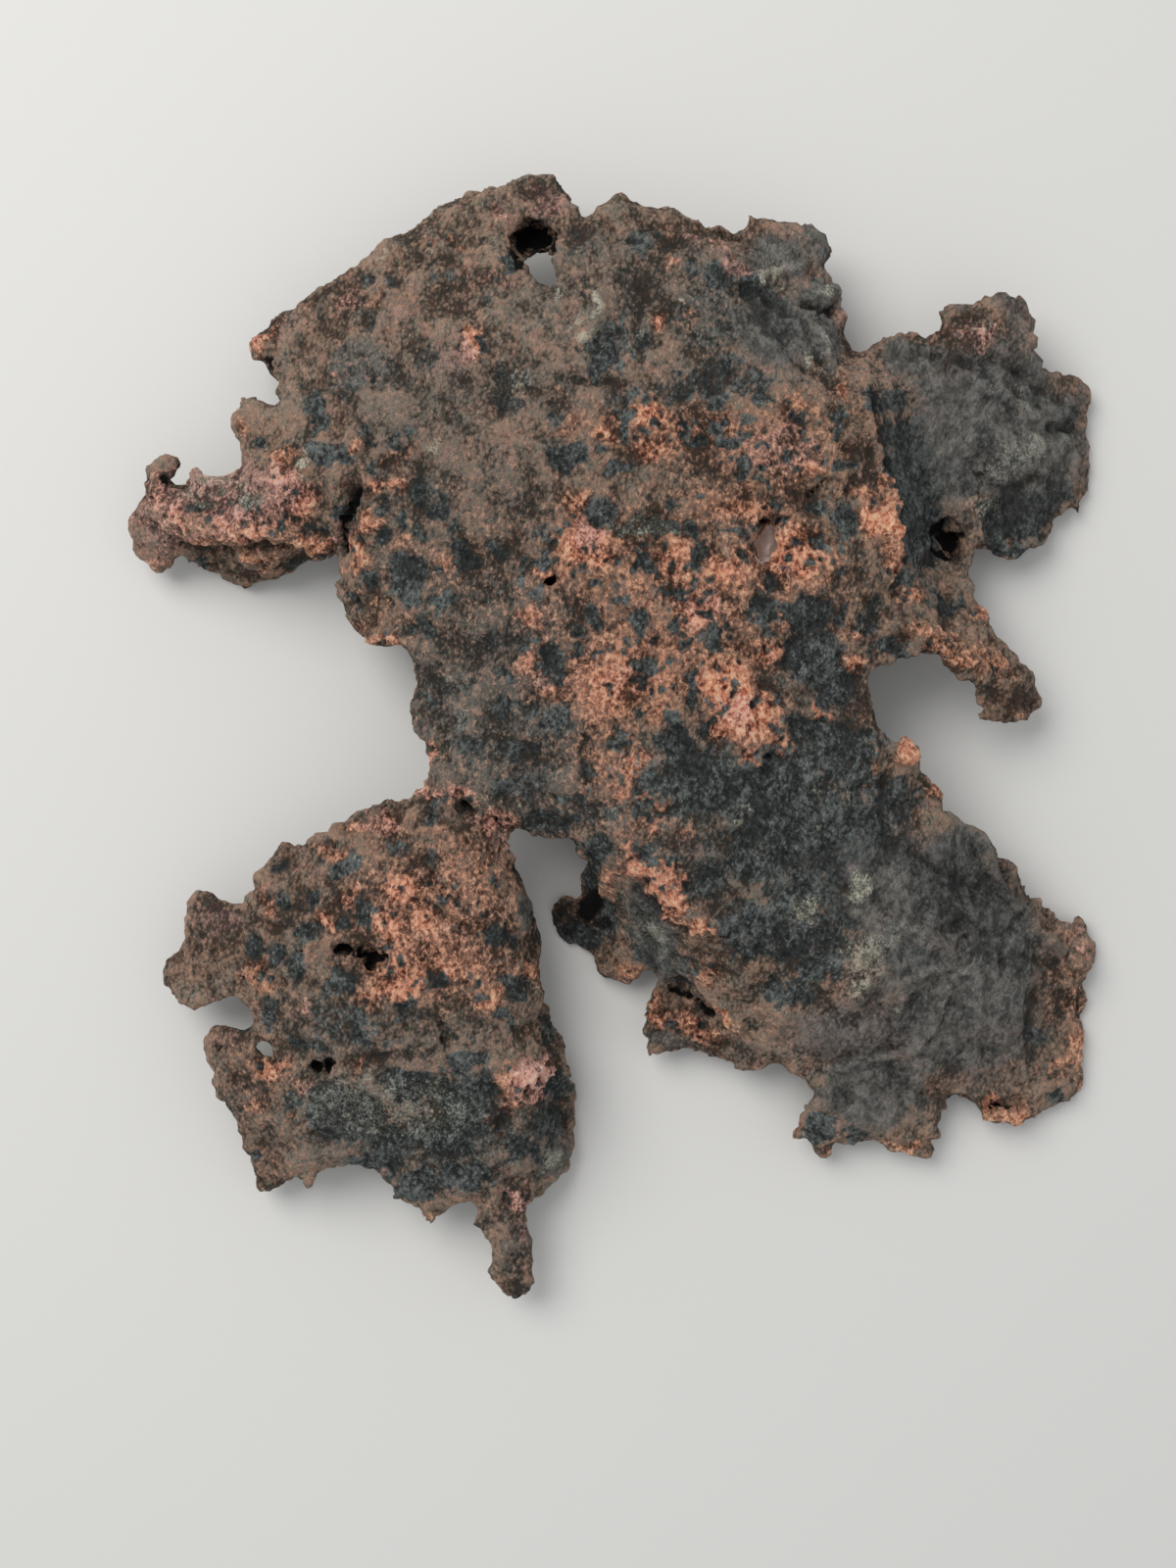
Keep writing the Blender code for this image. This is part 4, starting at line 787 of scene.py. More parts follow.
def total(x, y, places):
    """The sum of all patches at each point, with wide soft edges."""
    return sum(place[4] / 100 * np.exp(-(reach_of(x, y, place) ** 2.5)) for place in places)


# %% Places on the plan, moved a little by noise
BROAD_SHIFT = 7.0  # plan steps
FINE_SHIFT = 8.0
NEAR_SHARE = 0.38  # small hollows and lines keep to their places better

plan_x, plan_y = plan_places(points)
broad_x = BROAD_SHIFT * layered(points, 5.0, 1.0, layers=2)
broad_y = BROAD_SHIFT * layered(points, 5.0, 2.0, layers=2)
fine_x = FINE_SHIFT * layered(points, 1.8, 3.0, layers=2)
fine_y = FINE_SHIFT * layered(points, 1.8, 4.0, layers=2)
moved = (plan_x + broad_x + fine_x, plan_y + broad_y + fine_y)
near = (plan_x + NEAR_SHARE * fine_x, plan_y + NEAR_SHARE * fine_y)
upper = smooth_step(normals[:, 2], -0.2, 0.3)
print("share of the points that face up:", round(float(upper.mean()), 3))

# %% Coverage at every point
BARE_EVERYWHERE = 0.22  # even the dark parts have a glint of metal here and there

cover = {}
for finish in ("oxide", "dusk", "earth", "rosy", "ash", "pale"):
    cover[finish] = most(*moved, patches[finish])
cover["ash"] *= 1 - 0.5 * cover["earth"]
cover["copper"] = BARE_EVERYWHERE + total(*moved, patches["copper"]) - 0.24 * cover["ash"]
cover["hollow_shade"] = most(*near, patches["hollow_shade"], soft=0.35)
cover["sleek_sheen"] = most(*near, patches["sleek_sheen"], soft=0.3)
for name, values in cover.items():
    print(name, "covers", round(float((values * upper > 0.5).mean()), 3), "of the skin")

# %% [markdown]
# ## Small oxide spots
# Between the large spots the net of copper is full of smaller ones. Placing each by hand would take
# hundreds of patches, so cells of two sizes scatter them wherever there is much bare metal.

# %% Smaller oxide spots in the net of copper
SPOT_SIZE = 2.3  # millimetres from spot to spot
TINY_SIZE = 0.55 * SPOT_SIZE
UNDERNEATH_SIZE = 5.0


def cells(points, size, seed):
    """Distance to the nearest of many scattered centres, where 1 is the cell size."""
    scaled = points / (size * MM) + seed * 7.1
    return np.array([noise.voronoi(Vector(place))[0][0] for place in scaled])


warp = np.stack([layered(points, 2.0, seed, layers=2) for seed in (5.0, 6.0, 7.0)], axis=1)
small_spots = 1 - smooth_step(cells(points + warp * 0.5 * MM, SPOT_SIZE, 1.0), 0.16, 0.5)
small_spots *= smooth_step(layered(points, 7.0, 8.0), -0.4, 0.2)
tiny_spots = 1 - smooth_step(cells(points + warp * 0.4 * MM, TINY_SIZE, 3.0), 0.12, 0.45)
tiny_spots *= smooth_step(layered(points, 5.0, 9.0), -0.2, 0.3)
spots = np.maximum(small_spots, 0.9 * tiny_spots) * smooth_step(cover["copper"], 0.35, 0.6)
cover["oxide"] = np.maximum(cover["oxide"], 0.95 * spots)
underneath_cells = cells(points + warp * MM, UNDERNEATH_SIZE, 2.0)
underneath_spots = 1 - smooth_step(underneath_cells, 0.25, 0.6)
cover["oxide"] = cover["oxide"] * upper + (1 - upper) * underneath_spots
print("oxide now covers", round(float((cover["oxide"] > 0.5).mean()), 3), "of the skin")

# %% [markdown]
# ## Relief
# The metal stands a little higher than the oxide, because ice and gravel rub the high spots bare.
# So the numbers that make the dark spots also sink them. Lumps and knobbles of several sizes come
# on top, and bare crumpled copper gets rounded folds. A displacement texture could do the lumps,
# but not the folds that follow the finishes.

# %% Lumps, folds and sunken spots, in millimetres
LUMPS = ((9.0, 0.9), (4.2, 0.75), (2.4, 0.6), (1.6, 0.45))  # wavelength and height
FOLD_HEIGHT = 0.85
CRINKLE_HEIGHT = 0.14
BARE_CRINKLE = 0.26  # what bare metal adds to the crinkles
METAL_STANDS = 0.3
OXIDE_SINKS = 0.42

worn = np.clip(1 - 0.65 * cover["ash"], 0.3, 1)
relief = sum(height * ripple(points, size, 10.0 + size) for size, height in LUMPS) * worn
stretched = points * np.array((1.0, 0.6, 1.0))
folds = 1 - 2.2 * np.abs(layered(stretched + warp * 0.5 * MM, 7.0, 21.0))
relief += FOLD_HEIGHT * folds * smooth_step(cover["ash"], 0.3, 0.9)
crinkle = 1 - 2.4 * np.abs(layered(points + warp * 0.6 * MM, 2.6, 12.0, layers=2))
bare = smooth_step(cover["copper"], 0.4, 0.9) * (1 - smooth_step(cover["oxide"], 0.35, 0.6))
relief += crinkle * (CRINKLE_HEIGHT + BARE_CRINKLE * bare) * worn
relief += METAL_STANDS * bare - OXIDE_SINKS * smooth_step(cover["oxide"], 0.3, 0.6)
print("lumps, mm: from", round(float(relief.min()), 2), "to", round(float(relief.max()), 2))

# %% Crumpled copper, hollows and the sleek facet
CRUMPLED = [
    (760, 724, 46, 32, 100, 48), (764, 775, 12, 11, 100, 0), (673, 903, 24, 14, 100, 35),
    (691, 920, 12, 14, 100, 45), (725, 943, 22, 8, 100, 22), (1028, 1136, 26, 7, 100, -6),
    (928, 768, 12, 10, 100, 0), (910, 522, 14, 32, 80, 8), (543, 1104, 20, 24, 80, 20),
]
HOLLOW_DEPTH = 0.6
SLEEK_FLATTENS = 0.85  # share of the relief that polishing took away

crumpled = most(*moved, CRUMPLED)
relief += crumpled * (0.3 + 0.4 * crinkle)
relief -= smooth_step(cover["hollow_shade"], 0.2, 0.8) * HOLLOW_DEPTH
relief *= 1 - SLEEK_FLATTENS * cover["sleek_sheen"]
print("crumpled share of the skin:", round(float((crumpled > 0.5).mean()), 3))

# %% [markdown]
# ## Cracks, creases and ridges
# Thin lines of relief show where the sheet was folded and torn. Each is a chain of straight stops on
# the plan. Curves in Blender could be projected on the skin, but the distance to a chain is easy to
# work out for every point at once. Cracks are sunk and get painted black shade inside, creases are
# only sunk, and ridges stand up and get a painted highlight in the pale crust's colour where they
# cross ash.

# %% Cracks, which get painted black shade inside
# half width on the plan and depth in millimetres, then the stops of the line
CRACKS = [
    (3.5, 0.9, (366, 497), (359, 517), (350, 533), (351, 540), (353, 562)),
    (3, 0.6, (502, 833), (507, 840), (513, 851)),
    (3, 0.5, (1088, 970), (1090, 977), (1089, 983)),
    (4, 0.9, (686, 1006), (700, 1014), (712, 1022), (727, 1035)),
    (2.8, 0.4, (303, 970), (313, 968)),
    (2.8, 0.4, (824, 506), (830, 499)),
    (3.5, 0.5, (1012, 1130), (1024, 1128), (1038, 1130)),
    (3.2, 0.8, (345, 967), (357, 973), (372, 974), (386, 976), (397, 977)),
    (3.2, 0.8, (379, 978), (376, 986), (375, 993)),
]
print("cracks:", len(CRACKS))

# %% Creases, which are only sunk
CREASES = [
    (6.5, 1.2, (760, 291), (778, 300), (792, 310), (806, 318)),
    (6, 1.1, (820, 314), (836, 319), (850, 317)),
    (6, 0.9, (820, 330), (829, 350), (836, 372)),
    (5, 0.9, (765, 720), (772, 736), (771, 750)),
    (5, 0.7, (666, 922), (682, 934), (699, 950)),
    (5, 0.6, (474, 556), (478, 572), (470, 590)),
    (5, 0.8, (736, 735), (742, 748), (752, 757)),
    (5, 0.8, (782, 702), (776, 716), (780, 730)),
    (4.5, 0.7, (745, 712), (748, 724), (744, 736)),
    (5, 0.7, (196, 585), (205, 578), (218, 581)),
    (6, 0.9, (185, 557), (204, 562), (240, 560), (285, 553)),
    (5, 0.6, (763, 835), (780, 831), (799, 829)),
    (7, 0.9, (893, 402), (897, 440), (906, 466), (915, 500), (922, 537)),
    (5, 0.6, (833, 545), (847, 552), (860, 553)),
    (5, 0.6, (436, 830), (452, 842), (470, 846)),
    (8, 0.9, (985, 470), (1005, 492), (1030, 500), (1060, 488)),
    (7, 0.9, (1060, 430), (1080, 440), (1098, 436)),
    (8, 0.9, (955, 950), (985, 944), (1010, 955), (1030, 950)),
    (8, 0.8, (1020, 985), (1045, 975), (1075, 985)),
    (8, 0.9, (955, 365), (985, 372), (1015, 366), (1040, 380)),
    (7, 0.8, (1040, 380), (1055, 398), (1080, 408)),
    (7, 0.8, (1000, 455), (988, 480), (975, 500)),
    (7, 0.9, (862, 455), (872, 480), (864, 505)),
    (7, 0.8, (660, 290), (650, 330), (655, 370)),
    (7, 0.7, (760, 300), (790, 330), (810, 370), (850, 392)),
    (7, 0.7, (560, 380), (600, 392), (640, 390)),
    (7, 0.7, (500, 375), (520, 396), (550, 400)),
    (6, 0.7, (900, 640), (930, 655), (960, 676)),
    (7, 0.8, (905, 790), (900, 830), (915, 870)),
    (7, 0.7, (930, 870), (960, 890), (1000, 905)),
    (7, 0.7, (1060, 1010), (1050, 1050), (1052, 1090)),
    (7, 0.7, (300, 940), (275, 950), (262, 940)),
    (7, 0.8, (535, 880), (545, 920), (552, 960)),
    (7, 0.8, (505, 1110), (518, 1130), (512, 1150)),
    (7, 0.7, (380, 1080), (410, 1075), (440, 1085)),
]
print("creases:", len(CREASES))

# %% Raised ridges
RIDGES = [
    (6, 1.2, (769, 282), (785, 281), (800, 277), (818, 272)),
    (5.5, 1.1, (820, 303), (835, 301), (848, 299)),
    (6.5, 1, (829, 333), (840, 350), (849, 372)),
    (8, 1.3, (955, 835), (1000, 850), (1010, 880), (1017, 900), (1030, 915), (1045, 930), (1060, 950),
     (1080, 965), (1102, 985)),
    (5.5, 1.4, (855, 1089), (872, 1084), (890, 1080), (912, 1077), (935, 1068), (950, 1052),
     (958, 1030), (964, 1004)),
    (7, 0.7, (925, 997), (945, 988), (970, 985), (990, 992)),
    (8, 0.9, (886, 400), (890, 439), (899, 464), (908, 500), (915, 537), (912, 561)),
    (6, 0.8, (723, 1017), (740, 1032), (760, 1050)),
    (6, 0.7, (717, 758), (727, 768), (749, 768), (753, 779), (763, 787), (773, 777), (779, 766)),
    (5, 0.6, (830, 716), (838, 724), (849, 735)),
    (7, 0.9, (655, 882), (672, 893), (684, 908), (700, 928), (722, 938), (742, 948)),
    (5, 0.7, (668, 905), (690, 922), (704, 940)),
    (5, 0.7, (744, 704), (738, 722), (742, 742)),
    (5, 0.7, (778, 706), (790, 716), (796, 734)),
    (6, 0.7, (190, 545), (215, 545), (250, 541), (290, 548), (330, 552)),
    (9, 1, (985, 385), (1010, 398), (1040, 412), (1062, 432), (1085, 420)),
    (9, 0.9, (930, 395), (950, 420), (945, 460), (958, 500)),
    (8, 0.8, (1080, 445), (1095, 470), (1090, 500)),
    (5, 0.7, (524, 1120), (536, 1104), (548, 1088), (560, 1078)),
    (7, 0.8, (700, 305), (722, 318), (735, 345)),
    (6, 0.8, (590, 330), (602, 318), (612, 302)),
    (7, 0.8, (560, 505), (575, 530), (580, 560), (575, 580)),
    (6, 0.7, (610, 500), (618, 540), (630, 560)),
    (7, 0.7, (400, 905), (440, 915), (470, 935), (500, 930)),
    (6, 0.7, (250, 905), (262, 925), (280, 938)),
    (7, 0.7, (650, 880), (640, 920), (655, 955)),
    (6, 0.6, (945, 640), (975, 655), (1005, 664), (1025, 684)),
    (8, 0.8, (870, 930), (900, 945), (940, 945), (965, 965)),
]
print("ridges:", len(RIDGES))


# %% The lines of relief
def along(x, y, half_width, stops):
    """1 on the line through the stops, and 0 from half_width away."""
    nearest = np.full(len(x), 1e6)
    for (ax, ay), (bx, by) in zip(stops, stops[1:]):
        share = ((x - ax) * (bx - ax) + (y - ay) * (by - ay)) / ((bx - ax) ** 2 + (by - ay) ** 2)
        share = np.clip(share, 0, 1)
        away = np.hypot(x - ax - share * (bx - ax), y - ay - share * (by - ay))
        nearest = np.minimum(nearest, away)
    return 1 - smooth_step(nearest / half_width, 0.2, 1.0)


# Ridges stand up; where they cross ash their tops also get a painted highlight in the pale crust's colour.
for half_width, height, *stops in RIDGES:
    ridge = along(*near, half_width, stops)
    relief += height * ridge
    cover["pale"] = np.maximum(cover["pale"], 0.4 * ridge * cover["ash"])
# Cracks are sunk, and their insides get painted black shade.
for half_width, depth, *stops in CRACKS:
    crack = along(*near, half_width, stops)
    relief -= depth * crack
    cover["hollow_shade"] = np.maximum(cover["hollow_shade"], 0.9 * crack)
for half_width, depth, *stops in CREASES:
    relief -= depth * along(*near, half_width, stops)
print("lines of relief:", len(RIDGES) + len(CRACKS) + len(CREASES))

# %% [markdown]
# ## Ragged rims
# The sheet's edge was torn and then worn, so it is ragged in some stretches and smooth in others.
# Points that face sideways are the rim, and strong short noise moves them in and out. Modelling
# each tooth would be slow, and the eye only reads the raggedness.

# %% Ragged rims, and a plain underside
UNDERNEATH_HEIGHT = 0.5
TEETH_HEIGHT = 1.2
RIM_WAVE = 0.7

rim = 1 - smooth_step(np.abs(normals[:, 2]), 0.15, 0.8)
relief = relief * upper + (1 - upper) * UNDERNEATH_HEIGHT * layered(points, 5.0, 14.0)
ragged = 0.35 + 0.65 * smooth_step(ripple(points, 13.0, 18.0), -0.2, 0.35)
teeth = TEETH_HEIGHT * ragged * layered(points, 1.9, 15.0, layers=2)
relief += rim * (teeth + RIM_WAVE * ripple(points, 4.5, 16.0))
print("rim share of the skin:", round(float(rim.mean()), 3))

# %% Move the points, and keep the skin on the ground and in its box
DEEPEST = -1.7  # millimetres
HIGHEST = 1.5
HEADROOM = 0.8 * MM  # how far the skin may pass the solid's top

lift = np.clip(relief, DEEPEST, HIGHEST) * MM
points += normals * lift[:, None]
points[:, 2] = np.clip(points[:, 2], 0, solid_box[1][2] + HEADROOM)
skin.data.vertices.foreach_set("co", points.astype(np.float32).ravel())
skin.data.update()
print("relief, mm: from", round(float(lift.min() / MM), 2), "to", round(float(lift.max() / MM), 2))
print("lowest point, mm:", round(float(points[:, 2].min() / MM), 3))

# %% [markdown]
# ## Coverage for the material
# One material holds every finish, because they fade into one another and the real piece is one body
# of metal. The coverage numbers are stored on the points, and the material reads them by name. UV
# maps and painted images could carry them too, but numbers on points need no unwrapping.


# %% Store the coverage on the points
def store(name, values):
    """Keeps one number at each point under a name that the material can read."""
    attribute = skin.data.attributes.new(name, "FLOAT", "POINT")
    attribute.data.foreach_set("value", np.clip(values, 0, 1.5).astype(np.float32))


store("copper", cover["copper"] * (0.45 + 0.55 * upper))
store("oxide", cover["oxide"])
store("earth", cover["earth"] * upper + 0.35 * rim * (1 - 0.7 * cover["ash"]) + 0.5 * (1 - upper))
for name in ("dusk", "rosy", "ash", "pale", "hollow_shade", "sleek_sheen"):
    store(name, cover[name] * upper)
# The height also drives the painted shade in valleys and the painted light on lumps in the material.
store("height", np.clip(0.5 + 0.5 * relief, 0, 1))
print("stored:", [attribute.name for attribute in skin.data.attributes if attribute.data_type == "FLOAT"])

# %% [markdown]
# ## Weathered native copper
# The material starts from raw copper metal as the ground gave it up: never polished, tarnished
# brown, and crusted with its own oxides. To the eye that is a rough pinkish metal with a soft broad
# shine only where it is bare, and dull stone everywhere else. Every node is added by one small
# function, which fills the sockets in their order on the node and returns the output to link.


# %% The material, and one helper for every node
copper_metal = bpy.data.materials.new("weathered native copper")
copper_metal.use_nodes = True
tree = copper_metal.node_tree


def node(kind, settings, *values, give=None, **named):
    """Adds a node with settings, fills sockets in order or by name, and returns an output."""
    made = tree.nodes.new("ShaderNode" + kind)
    for name, value in settings.items():
        setattr(made, name, value)
    used = [socket for socket in made.inputs if socket.enabled]
    fillings = [*zip(used, values), *((made.inputs[name], value) for name, value in named.items())]
    for socket, value in fillings:
        if isinstance(value, bpy.types.NodeSocket):
            tree.links.new(value, socket)
        else:
            socket.default_value = value
    if give:
        return made.outputs[give]
    return next(socket for socket in made.outputs if socket.enabled)


# settings that many nodes share
ADD = {"operation": "ADD"}
SUBTRACT = {"operation": "SUBTRACT"}
TIMES = {"operation": "MULTIPLY"}
TIMES_PLUS = {"operation": "MULTIPLY_ADD"}
SMOOTH = {"interpolation_type": "SMOOTHSTEP"}
COLOUR = {"data_type": "RGBA"}
DARKEN = {"data_type": "RGBA", "blend_type": "MULTIPLY"}

# %% [markdown]
# ## Grains
# Native copper is made of crystal grains from under half a millimetre to some millimetres, and the
# crust breaks along them. Noise on the Object coordinates gives grains at real sizes, and they stay
# in place on the piece. The finest real grain, about 0.1 mm, is too fine to show in the picture, so
# the fine noise is drawn at 0.38 mm. Strands follow the direction in which the metal was drawn out.

# %% Where the patterns lie
whole = node("TexCoord", {}, give="Object")
place = node("Mapping", {}, Vector=whole, Rotation=(0, 0, math.radians(12)), Scale=(1.15, 0.85, 1.0))
strand_place = node("Mapping", {"vector_type": "TEXTURE"}, Vector=whole,
                    Rotation=(0, 0, math.radians(54)), Scale=(2.6, 0.9, 1.0))
print("nodes so far:", len(tree.nodes))

# %% Grains of several sizes
# size in millimetres, detail, roughness and place
GRAINS = {
    "fine": (0.38, 3.0, 0.65, place),
    "medium": (1.0, 5.0, 0.68, place),
    "broad": (4.5, 3.0, 0.6, place),
    "mottle": (1.9, 4.0, 0.7, place),
    "edge": (1.8, 5.0, 0.75, place),
    "strands": (0.6, 4.0, 0.65, strand_place),
}
CRYSTAL_SIZE = 0.75 * MM

grain = {}
for name, (size, detail, roughness, where) in GRAINS.items():
    grain[name] = node("TexNoise", {}, Vector=where, Scale=1 / (size * MM), Detail=detail,
                       Roughness=roughness)
grain["crystals"] = node("TexVoronoi", {"feature": "F1"}, Vector=place, Scale=1 / CRYSTAL_SIZE)
print("grains:", list(grain))

# %% Speckle, the noise that decides grain by grain
centred = {name: node("Math", SUBTRACT, grain[name], 0.5) for name in ("fine", "medium", "mottle", "edge")}
speckle = node("Math", TIMES_PLUS, centred["fine"], 1.7, centred["medium"])
clusters = node("Math", TIMES_PLUS, centred["mottle"], 1.1, speckle)
print("nodes so far:", len(tree.nodes))

# %% [markdown]
# ## Where each finish shows
# The coverage alone would give soft airbrushed edges. Speckle is added to it and a steep ramp cuts
# the sum, so each grain shows one finish or the other, as crust that has flaked off does.

# %% The coverage, read by name
read = {}
for name in ("copper", "oxide", "earth", "dusk", "rosy", "ash", "pale", "hollow_shade", "sleek_sheen", "height"):
    read[name] = node("Attribute", {"attribute_name": name}, give="Fac")
print("numbers read:", len(read))

# %% Soft finishes
# how much the speckle breaks the edge, and where the ramp starts and is full
EDGES = {
    "dusk": (0.8, 0.0, 1.0),
    "earth": (0.8, 0.25, 0.75),
    "rosy": (0.8, 0.2, 0.9),
    "ash": (0.8, 0.25, 0.8),
    "pale": (0.6, 0.25, 0.95),
}

share = {}
for name, (broken, start, full) in EDGES.items():
    broken_cover = node("Math", TIMES_PLUS, speckle, broken, read[name])
    share[name] = node("MapRange", SMOOTH, broken_cover, start, full)
print("nodes so far:", len(tree.nodes))

# %% Oxide, and the metal that it leaves bare
ragged_oxide = node("Math", TIMES_PLUS, centred["edge"], 2.4, read["oxide"])
ragged_oxide = node("Math", TIMES_PLUS, speckle, 0.6, ragged_oxide)
share["oxide"] = node("MapRange", SMOOTH, ragged_oxide, 0.4, 0.62)
ragged_metal = node("Math", ADD, read["copper"], clusters)
share["metal"] = node("MapRange", SMOOTH, ragged_metal, 0.28, 0.78)
not_oxide = node("Math", SUBTRACT, 1.0, share["oxide"])
not_dusk = node("Math", TIMES_PLUS, share["dusk"], -0.4, 1.0)
share["metal"] = node("Math", TIMES, share["metal"], not_oxide)
share["metal"] = node("Math", TIMES, share["metal"], not_dusk)
print("finishes:", list(share))

# %% [markdown]
# ## Brown crust
# Cuprite is a red-brown oxide that covers copper within years. Mixed with soil it reads as a dull
# brown with lighter and darker mottles. Each mottle is one noise with its own threshold, laid over
# the last like thin washes of paint, because one noise with many colours would look like contours.

# %% Brown crust with its mottles
warmer = node("MapRange", SMOOTH, grain["broad"], 0.4, 0.62)
crust = node("Mix", COLOUR, warmer, linear("655b50"), linear("745f51"))
light_mottle = node("MapRange", SMOOTH, grain["mottle"], 0.5, 0.7)
crust = node("Mix", COLOUR, light_mottle, crust, linear("886559"))
dark_mottle = node("MapRange", SMOOTH, grain["mottle"], 0.47, 0.3, 0.0, 0.6)
crust = node("Mix", COLOUR, dark_mottle, crust, linear("534f48"))
print("nodes so far:", len(tree.nodes))

# %% [markdown]
# ## Earth, rosy bloom and dusk
# Soil clings as a warmer brown. The bloom is fresh cuprite, a dusty pink. Dusk is the first thin
# film of black tenorite. All three are films on the brown crust, so they are mixed over it, and a
# little of the copper under the crust shines through as a redder brown.

# %% Films on the crust
patchy = node("MapRange", SMOOTH, grain["mottle"], 0.4, 0.6)
earth = node("Mix", COLOUR, patchy, linear("584a40"), linear("7d6353"))
dusk = node("Mix", COLOUR, patchy, linear("3c3e3c"), linear("565550"))
rosy_film = node("Math", TIMES, share["rosy"], 0.8)
copper_film = node("MapRange", SMOOTH, read["copper"], 0.32, 0.8, 0.0, 0.85)
crust = node("Mix", COLOUR, share["earth"], crust, earth)
crust = node("Mix", COLOUR, rosy_film, crust, linear("80655d"))
crust = node("Mix", COLOUR, copper_film, crust, linear("826152"))
crust = node("Mix", COLOUR, share["dusk"], crust, dusk)
print("nodes so far:", len(tree.nodes))

# %% Dark, reddish and pale flecks in the films
# pattern, where the flecks start and are full, their greatest share, and their colour
FLECKS = [
    ("medium", 0.48, 0.36, 0.6, "444a46"),
    ("medium", 0.53, 0.66, 0.55, "9c7a66"),
    ("fine", 0.56, 0.72, 0.4, "a8937d"),
]

for pattern, start, full, greatest, colour in FLECKS:
    flecks = node("MapRange", SMOOTH, grain[pattern], start, full, 0.0, greatest)
    crust = node("Mix", COLOUR, flecks, crust, linear(colour))
print("kinds of fleck:", len(FLECKS))

# %% [markdown]
# ## Slate oxide
# Tenorite is a hard black oxide that looks slate grey under a clear sky. It fills the pits. Its
# grey comes in two depths with a few light grains, which keeps the dark spots from being flat holes.

# %% Slate oxide
deep_or_light = node("MapRange", SMOOTH, grain["medium"], 0.38, 0.64)
slate = node("Mix", COLOUR, deep_or_light, linear("323635"), linear("575b59"))
light_grains = node("MapRange", SMOOTH, grain["fine"], 0.6, 0.74)
slate = node("Mix", COLOUR, light_grains, slate, linear("84857d"))
crust = node("Mix", COLOUR, share["oxide"], crust, slate)
print("nodes so far:", len(tree.nodes))

# %% [markdown]
# ## Ash and pale crust
# On the sheltered lobes the oxide has weathered to a grey powder, and here and there to a pale
# greenish one, a first film of malachite. Powder hides what lies under it, so both come last.

# %% Ash and pale crust
ash_depth = node("MapRange", SMOOTH, grain["mottle"], 0.38, 0.62)
ash = node("Mix", COLOUR, ash_depth, linear("383a39"), linear("5f5f5c"))
ash_film = node("Math", TIMES, share["ash"], 0.9)
crust = node("Mix", COLOUR, ash_film, crust, ash)
pale_depth = node("MapRange", SMOOTH, grain["fine"], 0.35, 0.65)
pale = node("Mix", COLOUR, pale_depth, linear("7d7a6b"), linear("aaa898"))
pale_film = node("Math", TIMES, share["pale"], 0.85)
crust = node("Mix", COLOUR, pale_film, crust, pale)
print("nodes so far:", len(tree.nodes))

# %% [markdown]
# ## The metal itself
# Where wear is light the metal is stained brown, then tarnished, and on the high spots bright salmon
# pink with lighter painted glints, highlights drawn into its colour. The stored copper number says
# how worn a place is, so the three follow one another as they do from the foot to the top of a lump.

# %% Stained, tarnished and bright copper
duller = node("MapRange", SMOOTH, grain["medium"], 0.38, 0.62)
stained = node("Mix", COLOUR, duller, linear("665247"), linear("917968"))
tarnished = node("Mix", COLOUR, duller, linear("624639"), linear("b0876f"))
bright = node("Mix", COLOUR, deep_or_light, linear("83513f"), linear("ce957b"))
# Painted glints: light specks of highlight drawn into the bright copper's colour.
painted_glints = node("MapRange", SMOOTH, grain["fine"], 0.58, 0.72)
bright = node("Mix", COLOUR, painted_glints, bright, linear("e8b398"))
print("nodes so far:", len(tree.nodes))

# %% The metal over the crust
little_worn = node("MapRange", SMOOTH, read["copper"], 0.2, 0.6)
metal = node("Mix", COLOUR, little_worn, stained, tarnished)
much_worn = node("MapRange", SMOOTH, read["copper"], 0.4, 1.1)
metal = node("Mix", COLOUR, much_worn, metal, bright)
rosy_metal = node("Math", TIMES, share["rosy"], 0.6)
metal = node("Mix", COLOUR, rosy_metal, metal, linear("bf948e"))
surface = node("Mix", COLOUR, share["metal"], crust, metal)
print("nodes so far:", len(tree.nodes))

# %% [markdown]
# ## Painted shade in crevices and painted light on lumps
# Every grain stands a little above its neighbours and shades the gap between them. These gaps are
# finer than the skin's faces, so their shade is painted: the grains and the skin's stored height are
# added up to a level, and the surface gets painted shade where it is low and painted light where it
# is high, on the skin's lumps as well as on the grains.

# %% Painted light on the grains and lumps, and painted shade in the crevices between them
# pattern and its weight in the level
LEVELS = [
    (grain["fine"], 0.28), (grain["medium"], 0.26), (grain["strands"], 0.26),
    (grain["broad"], 0.3), (grain["crystals"], -0.2), (read["height"], 0.26),
]
LEVEL_START = -0.07  # brings the middle of the sum to the middle of the ramp

level = LEVEL_START
for pattern, weight in LEVELS:
    level = node("Math", TIMES_PLUS, pattern, weight, level)
painted_light_and_shade = node("MapRange", SMOOTH, level, 0.38, 0.62, 0.5, 2.75)
calm_ash = node("Math", TIMES, share["ash"], 0.3)
calm = node("Math", TIMES_PLUS, share["oxide"], 0.2, calm_ash)
painted_light_and_shade = node("Mix", {}, calm, painted_light_and_shade, 1.4)
painted_light_and_shade_grey = node("CombineColor", {}, painted_light_and_shade, painted_light_and_shade, painted_light_and_shade)
# Painted light and shade: the surface colour is multiplied by the level's grey.
surface = node("Mix", DARKEN, 1.0, surface, painted_light_and_shade_grey)
print("nodes so far:", len(tree.nodes))

# %% [markdown]
# ## The sleek facet and the painted shade in hollows
# The one flat facet is polished smooth and reflects the sky; its pale grey pink without grains is
# partly a painted reflection of the sky. Deep hollows get painted shade, almost black: little light
# gets in, and what does is caught.

# %% Sleek facet with its painted reflection, and painted shade in hollows
sleek_sheen = node("MapRange", SMOOTH, read["sleek_sheen"], 0.3, 0.7)
surface = node("Mix", COLOUR, sleek_sheen, surface, linear("ab9890"))
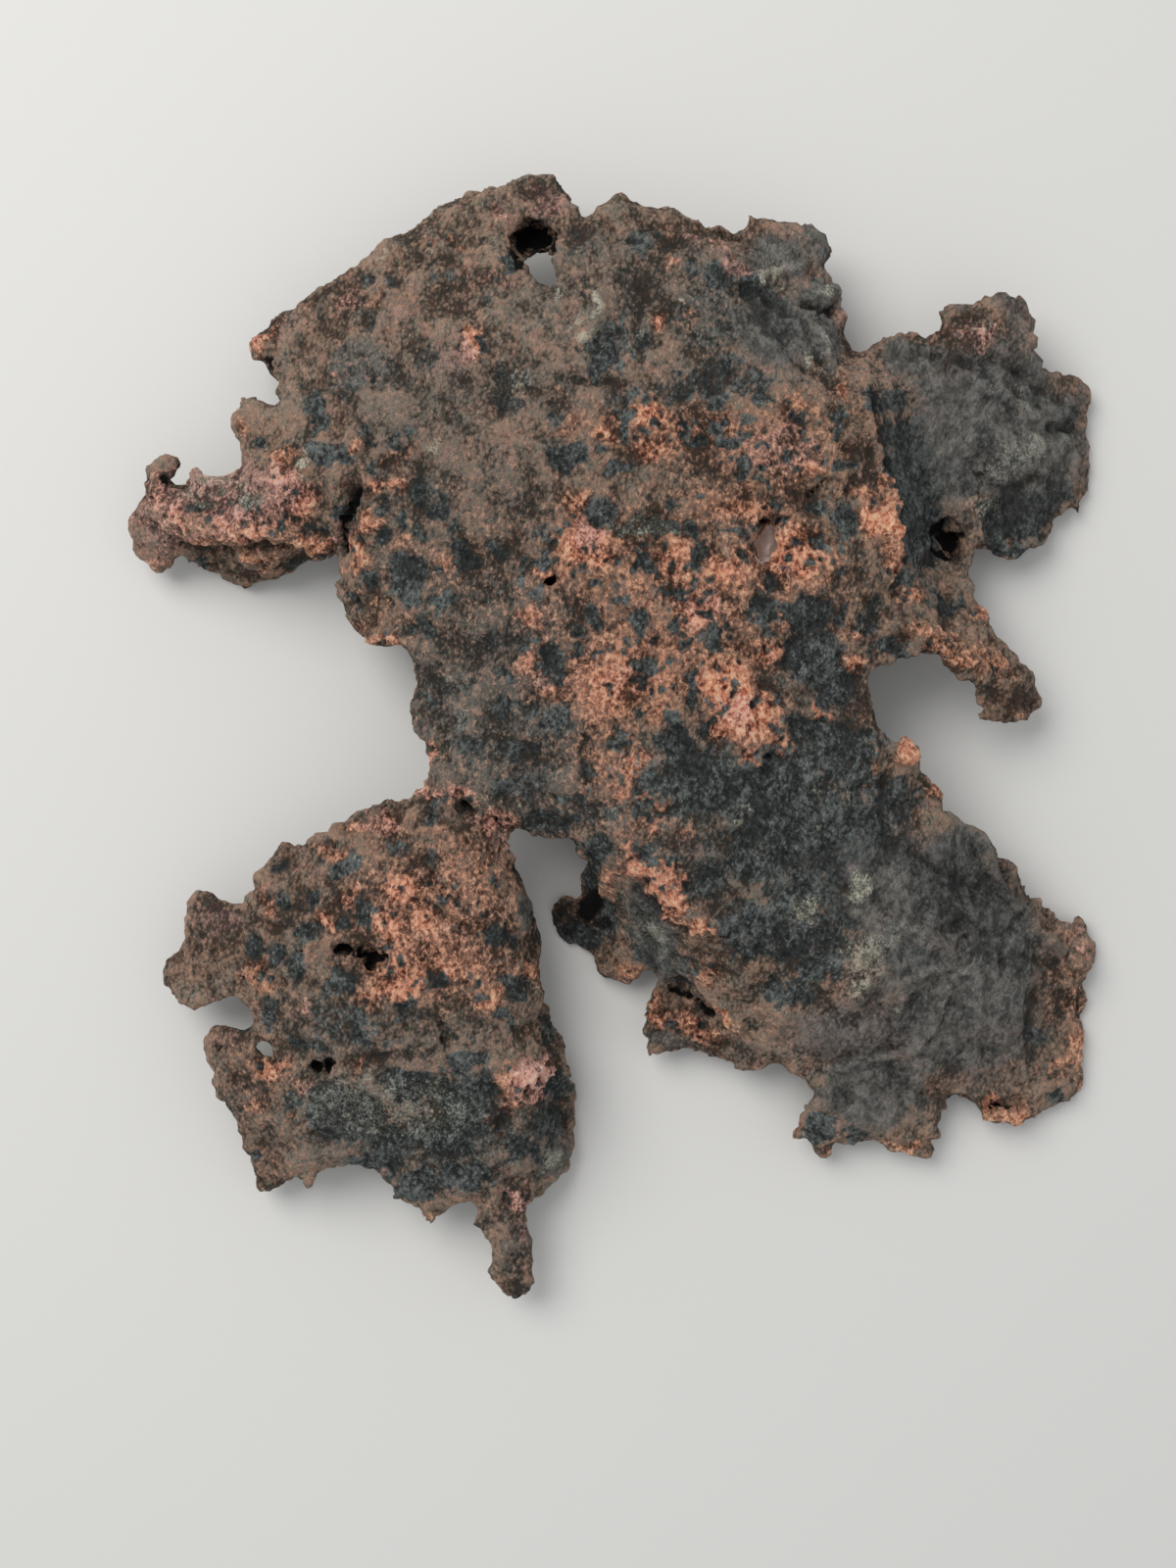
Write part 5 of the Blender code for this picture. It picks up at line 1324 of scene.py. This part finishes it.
# Painted near-black shade in hollows, cracks and under the flaps.
hollow_shade_share = node("MapRange", SMOOTH, read["hollow_shade"], 0.3, 0.8)
surface = node("Mix", COLOUR, hollow_shade_share, surface, linear("0d0b0a"))
print("nodes so far:", len(tree.nodes))

# %% [markdown]
# ## Shine and fine relief
# Crust is rough and not metallic at all. Bare copper is metallic, but under a thin film of tarnish,
# so it stops short of full metal and of a low roughness. The metal's IOR stays as it is. Bump gives
# the relief under a millimetre, which the faces can't hold, and it is weak on the sleek facet.

# %% Shine and bump
# pattern and its height
BUMPS = [
    (grain["fine"], 0.35), (grain["medium"], 0.7), (grain["strands"], 0.5),
    (grain["crystals"], -0.2), (share["metal"], 0.2),
]
BUMP_HEIGHT = 1.8 * MM
MOST_METAL = 0.7

height = 0.0
for pattern, weight in BUMPS:
    height = node("Math", TIMES_PLUS, pattern, weight, height)
bump_strength = node("MapRange", SMOOTH, sleek_sheen, 0.0, 1.0, 1.0, 0.15)
bump = node("Bump", {}, Height=height, Distance=BUMP_HEIGHT, Strength=bump_strength)
shine = node("MapRange", SMOOTH, share["metal"], 0.0, 1.0, 0.8, 0.42)
metalness = node("Math", TIMES, share["metal"], MOST_METAL)
principled = tree.nodes["Principled BSDF"]
principled.inputs["Specular IOR Level"].default_value = 0.2
tree.links.new(surface, principled.inputs["Base Color"])
tree.links.new(shine, principled.inputs["Roughness"])
tree.links.new(metalness, principled.inputs["Metallic"])
tree.links.new(bump, principled.inputs["Normal"])
print("nodes in all:", len(tree.nodes))

# %% [markdown]
# ## Hand-over
# The skin is shaded smooth, wears the copper, and takes the solid's place. It doesn't move, so it
# rides on the root body. Its object lies at the origin with its place in its mesh.

# %% Dress the skin and hand it over
bpy.ops.object.select_all(action="DESELECT")
skin.select_set(True)
bpy.context.view_layer.objects.active = skin
bpy.ops.object.shade_smooth()
skin.data.materials.clear()
skin.data.materials.append(copper_metal)
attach(skin, "root")
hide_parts("copper_nugget")
print("skin at", tuple(skin.location), "with", len(skin.data.polygons), "faces")
